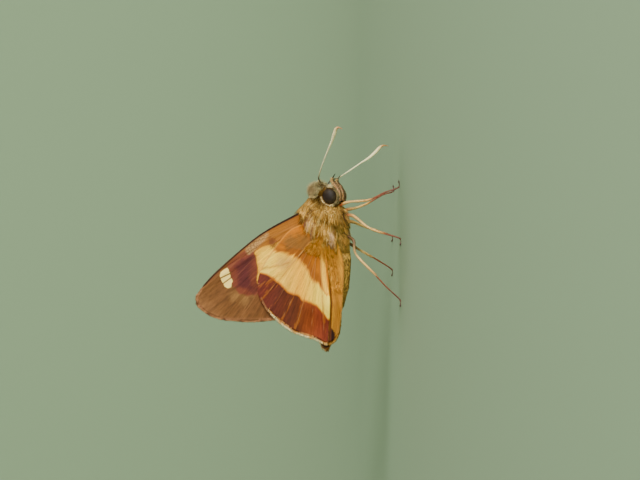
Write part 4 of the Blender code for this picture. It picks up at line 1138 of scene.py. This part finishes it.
# The coat of the head
# A brush of fine grey-tan hair on the crown, combed back, and short scales on the rest of the head. A
# band of cream scales lies close round the back of each eye, and a white tuft above it.
CROWN_TUFTS = 4600
FACE_TUFTS = 3000
RIM_TUFTS = 1300
HEAD_STOPS = (0.0, 0.35, 0.7)
head_coat = coat_finish(
    "olive_head_scales", "#6E5E38", "#AC9860", "#DCCA94", ("pink", "#AC8C5A", 0.4, 1.2),
    ("ochre", "#D09634", 0.2, 0.4), ("cream", "#FFE29C", 0.15, 0.3), ("dark", "#3A2410", 0.1, 0.2))


def head_tufts(name, root, out, way, size, wide, lift, patch, **marks):
    """One piece of the head's coat; a mark that it doesn't have lies out of reach."""
    fields = {"pink": -1.0, "ochre": -1.0, "cream": -1.0, "dark": -1.0}
    fields.update(marks)
    tufts = blades(root, way, out, size, wide, lift, 0.1, HEAD_STOPS)
    coat(name, "head_scales", head_coat, tufts, root, patch, (0.2, 1.0), **fields)


def sphere_points(count):
    """Evenly spread directions: height and turn both even."""
    height = chance.uniform(-1.0, 1.0, count)
    turn = chance.uniform(0.0, 2.0 * math.pi, count)
    flat = np.sqrt(1.0 - height * height)
    way = np.stack([flat * np.cos(turn), flat * np.sin(turn), height], axis=1)
    return way, turn / (2.0 * math.pi), height


def combed(out, towards):
    """The part of a way that lies along the surface: the way less its share along out."""
    return towards - out * (out @ towards)[:, None]


spread, turn, height = sphere_points(CROWN_TUFTS)
root = CROWN_CENTRE + spread * (CROWN_SIZE - COAT_DEPTH - HAIR_ROOT)
clear = np.linalg.norm(root - head_point(0.0, -EYE_SPACING, 0.0), axis=1) > 1.75
keep = (spread[:, 2] > -0.75) & (spread[:, 0] > -0.85) & clear
spread, turn, height, root = spread[keep], turn[keep], height[keep], root[keep]
out = unit(spread / CROWN_SIZE)
way = combed(out, np.array([-0.75, 0.0, 0.5])) + 0.25 * out
way = way + chance.normal(0.0, 0.13, way.shape)
long = chance.uniform(0.45, 0.85, len(root)) + 0.4 * (chance.uniform(0.0, 1.0, len(root)) > 0.93)
head_tufts("crown_hair", root, out, way, long, chance.uniform(0.04, 0.07, len(root)), 0.22,
           (0.03 + 0.94 * turn, 0.28 + 0.2 * height), cream=7.2 - root[:, 0] + 0.3 * (root[:, 2] - 12.0),
           pink=0.35 - np.hypot(root[:, 0] - 8.2, root[:, 2] - 12.9))

spread, turn, height = sphere_points(FACE_TUFTS)
local = np.array(SKULL_CENTRE) + spread * (SKULL_SIZE - 0.17)
root = head_point(local[:, 0], local[:, 1], local[:, 2])
clear = np.hypot(local[:, 0] / 1.15, local[:, 2] / 1.25) > 1.0
keep = clear | (np.abs(local[:, 1]) < 0.75)
keep &= np.sum(((root - CROWN_CENTRE) / (CROWN_SIZE - COAT_DEPTH)) ** 2, axis=1) > 0.8
spread, turn, height, local, root = spread[keep], turn[keep], height[keep], local[keep], root[keep]
out = unit((spread / SKULL_SIZE) @ HEAD_AXES)
way = combed(out, -0.9 * HEAD_AXES[0] - 0.3 * HEAD_AXES[2]) + 0.35 * out + chance.normal(0.0, 0.15, out.shape)
size, wide = chance.uniform(0.3, 0.55, len(root)), chance.uniform(0.06, 0.1, len(root))
head_tufts("face_scales", root, out, way, size, wide, 0.2, (0.03 + 0.94 * turn, 0.72 + 0.2 * height),
           cream=0.3 - np.hypot(local[:, 0] - 0.7, local[:, 2] - 1.3),
           dark=0.25 - np.hypot(local[:, 0] + 0.6, local[:, 2] - 1.5),
           ochre=0.45 - np.hypot(local[:, 0] + 1.0, local[:, 2] - 0.9))

for word, side in SIDES:
    turn = np.linspace(0.0, 2.0 * math.pi, RIM_TUFTS, endpoint=False) + chance.normal(0.0, 0.01, RIM_TUFTS)
    around = np.radians(chance.uniform(-25.0, 115.0, RIM_TUFTS))
    root, facing, downhill = rim_place(side, turn, around)
    way = downhill + 0.25 * facing + chance.normal(0.0, 0.12, facing.shape)
    cheek = 0.6 * (np.cos(turn - CHEEK_TURN) - 0.45)
    wedge = 0.12 - np.abs(turn - math.radians(92.0)) + 0.2 * smooth_step(around, 0.5, 1.5)
    size, wide = chance.uniform(0.16, 0.28, RIM_TUFTS), chance.uniform(0.06, 0.1, RIM_TUFTS)
    head_tufts("eye_rim_scales_" + word, root - HAIR_ROOT * facing, facing, way, size, wide, 0.1,
               (0.03 + 0.94 * turn / (2.0 * math.pi), 0.5),
               cream=np.maximum(cheek, 0.3 - np.abs(turn - BROW_TURN)),
               dark=np.maximum(0.8 * (around - math.radians(92.0)) * (cheek > -0.1), wedge),
               ochre=0.35 - np.abs(turn - math.radians(118.0)))


# The palps
# Two upturned feelers of the mouth, thick with short scales: pinkish tan at the sides, dark olive in
# front. Their last joints are thin, bare and dark, and point forward.
PALP_PATH = np.array([
    [0.55, 0.5, -1.35], [1.2, 0.5, -0.5], [1.45, 0.5, 0.5], [1.5, 0.55, 1.6], [2.0, 0.6, 1.95],
    [2.6, 0.65, 2.1],
])
PALP_RADII = (0.26, 0.34, 0.36, 0.26, 0.1, 0.05)
PALP_LIFT = {"right": 0.2, "left": -0.15}
PALP_SIDES = 20
PALP_TUFTS = 1100


def tube_grid(path, radii, sides):
    """Rings round a path, each turned from the last by no more than the path bends, and their directions."""
    ways = unit(np.gradient(path, axis=0))
    normals = [unit(np.cross(ways[0], [0.3, 0.2, 0.93]))]
    for way in ways[1:]:
        normals.append(unit(normals[-1] - way * np.dot(normals[-1], way)))
    normals = np.array(normals)[:, None]
    turn = np.linspace(0.0, 2.0 * math.pi, sides, endpoint=False)[None, :, None]
    outs = normals * np.cos(turn) + np.cross(ways[:, None], normals) * np.sin(turn)
    return path[:, None] + outs * np.asarray(radii)[:, None, None], outs, ways


def limb(name, grid, material, along, slot, node):
    """A closed tube as one object; along counts from its root to its tip, and the poles take their ring's."""
    verts, faces = closed_grid(grid)
    field = np.concatenate([np.repeat(along, grid.shape[1]), [along[0], along[-1]]])
    settle(build(name, verts, faces, [material], None, {"along": field}), slot, node)


def banded_finish(name, stops, roughness):
    """Colours along a limb: a ramp over the field that counts from its root to its tip, with a fine noise."""
    made, tree, shader = finish(name, roughness)
    along = add(tree, "ShaderNodeAttribute", attribute_name="along").outputs["Fac"]
    place = add(tree, "ShaderNodeTexCoord").outputs["Object"]
    noise = add(tree, "ShaderNodeTexNoise", {"Vector": place, "Scale": 5000.0, "Detail": 2.0}).outputs["Fac"]
    colour = add(tree, "ShaderNodeValToRGB", {"Fac": along}, stops=stops).outputs["Color"]
    tree.links.new(shade_by(tree, colour, noise, 0.8, 1.18), shader.inputs["Base Color"])
    bump = add(tree, "ShaderNodeBump", {"Height": noise, "Strength": 0.4, "Distance": 0.00003})
    tree.links.new(bump.outputs[0], shader.inputs["Normal"])
    return made


palp_skin = banded_finish(
    "palp_cuticle", ((0.0, "#9A6A40"), (0.62, "#B48054"), (0.74, "#3A3018"), (1.0, "#1E1C10")), 0.5)
palp_coat = coat_finish("tan_palp_scales", "#8A6830", "#BC9450", "#E0C080", ("front", "#453C1C", 0.2, 0.3))
for word, side in SIDES:
    points = PALP_PATH * [1.0, side, 1.0]
    points[:, 2] += PALP_LIFT[word] * (PALP_PATH[:, 2] > 0.0)
    path = through(head_point(points[:, 0], points[:, 1], points[:, 2]), 12)
    along = np.linspace(0.0, 1.0, len(path))
    radii = np.interp(along, np.linspace(0.0, 1.0, len(PALP_RADII)), PALP_RADII)
    grid, outs, ways = tube_grid(path, radii, PALP_SIDES)
    limb("palp_" + word + "_skin", grid, palp_skin, along, "head_scales", "palp_" + word)
    pick = chance.integers(1, int(0.68 * len(path)), PALP_TUFTS)
    turn = chance.integers(0, PALP_SIDES, PALP_TUFTS)
    out = outs[pick, turn]
    root = grid[pick, turn] - out * 0.02 + ways[pick] * chance.uniform(-0.06, 0.06, PALP_TUFTS)[:, None]
    way = ways[pick] + 0.2 * out + chance.normal(0.0, 0.1, (PALP_TUFTS, 3))
    tufts = blades(root, way, out, chance.uniform(0.2, 0.34, PALP_TUFTS), 0.07, 0.12, 0.1, (0.0, 0.5))
    coat("palp_scales_" + word, "head_scales", palp_coat, tufts, root,
         (0.03 + 0.94 * pick / len(path), 0.03 + 0.94 * turn / PALP_SIDES), (0.3, 1.0),
         front=out @ HEAD_AXES[0] - 0.55)


# The antennae
# Thin jointed feelers, dark at the base and pale beyond it, which thicken to a club and end in a hooked
# brown point.
ANTENNA_PATHS = {
    "right": np.array([
        [8.5, -0.1, 11.5], [9.55, -0.95, 12.1], [10.3, -1.5, 12.1], [12.1, -2.9, 11.6], [13.65, -4.1, 11.05],
        [15.2, -5.2, 10.45], [16.2, -5.9, 10.15], [17.0, -6.4, 9.9], [17.2, -6.7, 9.5], [16.95, -7.0, 9.0],
    ]),
    "left": np.array([
        [8.7, 1.1, 10.65], [9.5, 1.3, 10.1], [9.95, 1.8, 8.85], [10.85, 2.4, 7.4], [12.25, 3.2, 5.3],
        [13.1, 3.7, 3.95], [14.0, 4.1, 2.9], [14.8, 4.4, 2.15], [15.1, 4.6, 1.5], [15.0, 4.9, 0.75],
    ]),
}
ANTENNA_RADII = (0.14, 0.11, 0.1, 0.105, 0.12, 0.2, 0.27, 0.23, 0.1, 0.03)
ANTENNA_JOINTS = 44
antenna_shell = banded_finish("pale_antenna_shell", (
    (0.0, "#3A2E16"), (0.17, "#4A3A1C"), (0.24, "#B8AC78"), (0.34, "#E6DDA6"), (0.6, "#F2E4A4"),
    (0.76, "#E2CC8A"), (0.84, "#C88A48"), (1.0, "#A85C22")), 0.42)
for word, points in ANTENNA_PATHS.items():
    path = through(points, 24)
    along = np.linspace(0.0, 1.0, len(path))
    radii = np.interp(along, np.linspace(0.0, 1.0, len(points)), ANTENNA_RADII)
    radii = radii * (1.0 + 0.05 * np.cos(2.0 * math.pi * ANTENNA_JOINTS * along))
    limb("antenna_shell_" + word, tube_grid(path, radii, 18)[0], antenna_shell, along, "antenna_shell",
         "antenna_" + word)


# The legs
# Six slender jointed legs in tan scales: a thigh, a shin, which on the mid and hind legs has a pair of spurs
# at its end, and a foot of five short dark joints that lies on the floor, with two small claws.
FOOT = 0.13
LEG_SIDES = 16
LEG_TUFTS = 260
LEG_RADII = (0.14, 0.25, 0.15, 0.19, 0.16, 0.12, 0.11, 0.08)
FOOT_JOINTS = (0.42, 0.6, 0.74, 0.86)
SPUR_SIDES = (5, 11)
LEGS = {
    "leg_fore_right": (1.25, 2.1, [
        [5.5, -0.6, 9.0], [6.1, -1.4, 7.6], [6.4, -2.7, 4.6], [7.5, -3.3, 2.3], [8.3, -3.6, FOOT],
        [9.3, -3.8, FOOT]]),
    "leg_fore_left": (1.25, 2.1, [
        [4.9, 0.9, 8.6], [5.2, 1.6, 6.4], [6.0, 2.9, 4.2], [7.3, 3.5, 1.9], [7.9, 3.8, FOOT],
        [8.8, 4.1, FOOT]]),
    "leg_mid_right": (2.0, 3.0, [
        [4.1, -0.7, 8.2], [3.95, -1.8, 6.9], [2.2, -4.0, 4.8], [1.3, -4.9, 2.6], [0.5, -5.4, FOOT],
        [-0.5, -5.8, FOOT]]),
    "leg_mid_left": (2.0, 3.0, [
        [3.2, 1.2, 8.6], [3.1, 2.0, 6.8], [2.4, 4.1, 4.7], [1.7, 5.0, 2.4], [0.9, 5.5, FOOT],
        [0.0, 5.9, FOOT]]),
    "leg_hind_right": (2.0, 3.1, [
        [1.0, -0.8, 8.1], [0.2, -2.2, 6.9], [-1.9, -3.3, 6.6], [-4.8, -4.8, 4.0], [-6.8, -5.3, 2.2],
        [-8.8, -5.6, FOOT], [-9.8, -5.8, FOOT]]),
    "leg_hind_left": (1.9, 2.7, [
        [0.4, 1.3, 8.4], [-0.6, 2.2, 6.6], [-1.4, 3.5, 5.2], [-2.8, 5.0, 2.6], [-4.4, 5.7, FOOT],
        [-5.4, 6.0, FOOT]]),
}
SHIN_AND_FOOT = ((0.5, "#D69C48"), (0.56, "#8A4218"), (0.75, "#6A3016"), (1.0, "#3A2010"))
leg_skin = banded_finish("tan_leg_scales", (
    (0.0, "#A8481A"), (0.09, "#B4602A"), (0.15, "#CC984C"), (0.3, "#E2B462")) + SHIN_AND_FOOT, 0.55)
# The hind legs' thighs are darkened with painted shade
hind_leg_skin = banded_finish("painted_shade_thigh_leg_scales", (
    (0.0, "#4A3216"), (0.2, "#6A4A20"), (0.3, "#B88C44"), (0.36, "#E2B462")) + SHIN_AND_FOOT, 0.55)
leg_coat = coat_finish("tan_leg_hair", "#A0743A", "#D0A868", "#EBD09A", ("dark", "#54280F", 0.1, 0.15))
for name, (knee, ankle, points) in LEGS.items():
    hind = "hind" in name
    path = through(points, 24)
    last = len(points) - 1.0
    at = np.linspace(0.0, last, len(path))
    key = [0.0, 0.5 * knee, knee, knee + 0.25 * (ankle - knee), ankle - 0.05, ankle + 0.06, last - 0.1, last]
    radii = np.interp(at, key, LEG_RADII)
    for part in FOOT_JOINTS:
        radii = radii * (1.0 - 0.28 * np.exp(-((at - ankle - (last - ankle) * part) / 0.035) ** 2))
    grid, outs, ways = tube_grid(path, radii, LEG_SIDES)
    grid[..., 2] = np.maximum(grid[..., 2], 0.0)
    along = np.interp(at, [0.0, knee, ankle, last], [0.0, 0.3, 0.53, 1.0])
    limb(name + "_skin", grid, hind_leg_skin if hind else leg_skin, along, "leg_scales", name)
    pick = chance.integers(8, len(path) - 14, LEG_TUFTS)
    turn = chance.integers(0, LEG_SIDES, LEG_TUFTS)
    out = outs[pick, turn]
    # The hind thighs' hair is darkened with painted shade too; the dark at the shin's end and on the foot is
    # their own colour
    dark = np.maximum(along[pick] - 0.5, (0.26 - along[pick]) * hind)
    size = chance.uniform(0.16, 0.34, LEG_TUFTS) * np.where(dark > 0.0, 0.6, 1.0)
    way = ways[pick] + 0.35 * out + chance.normal(0.0, 0.08, (LEG_TUFTS, 3))
    hairs = (grid[pick, turn] - out * 0.02, way, out, size, np.full(LEG_TUFTS, 0.055), dark, pick, turn)
    # The spurs at the shin's end, then the claws, as root, way, out, length, width, dark, ring and side
    spur = int(np.argmin(np.abs(at - ankle + 0.12)))
    flat = np.cross(ways[-1], [0.0, 0.0, 1.0])
    extra = [(grid[spur, i], ways[spur] + 0.45 * outs[spur, i], outs[spur, i], 0.75, 0.09, -0.3, spur, i)
             for i in SPUR_SIDES if "fore" not in name]
    extra += [(path[-2] + 0.04 * way, ways[-1] + 0.5 * way, np.array([0.0, 0.0, 1.0]), 0.26, 0.07, 0.4,
               len(path) - 1, 0) for way in (-flat, flat)]
    root, way, out, size, wide, dark, pick, turn = (
        np.concatenate([hair, np.array(more)]) for hair, more in zip(hairs, zip(*extra)))
    tufts = blades(root, way, out, size, wide, 0.1, 0.2, (0.0, 0.5))
    tufts[0][:, 2] = np.maximum(tufts[0][:, 2], 0.0)
    coat(name + "_hair", "leg_scales", leg_coat, tufts, root,
         (0.03 + 0.94 * pick / len(path), 0.03 + 0.94 * turn / LEG_SIDES), (0.4, 1.0), dark=dark)
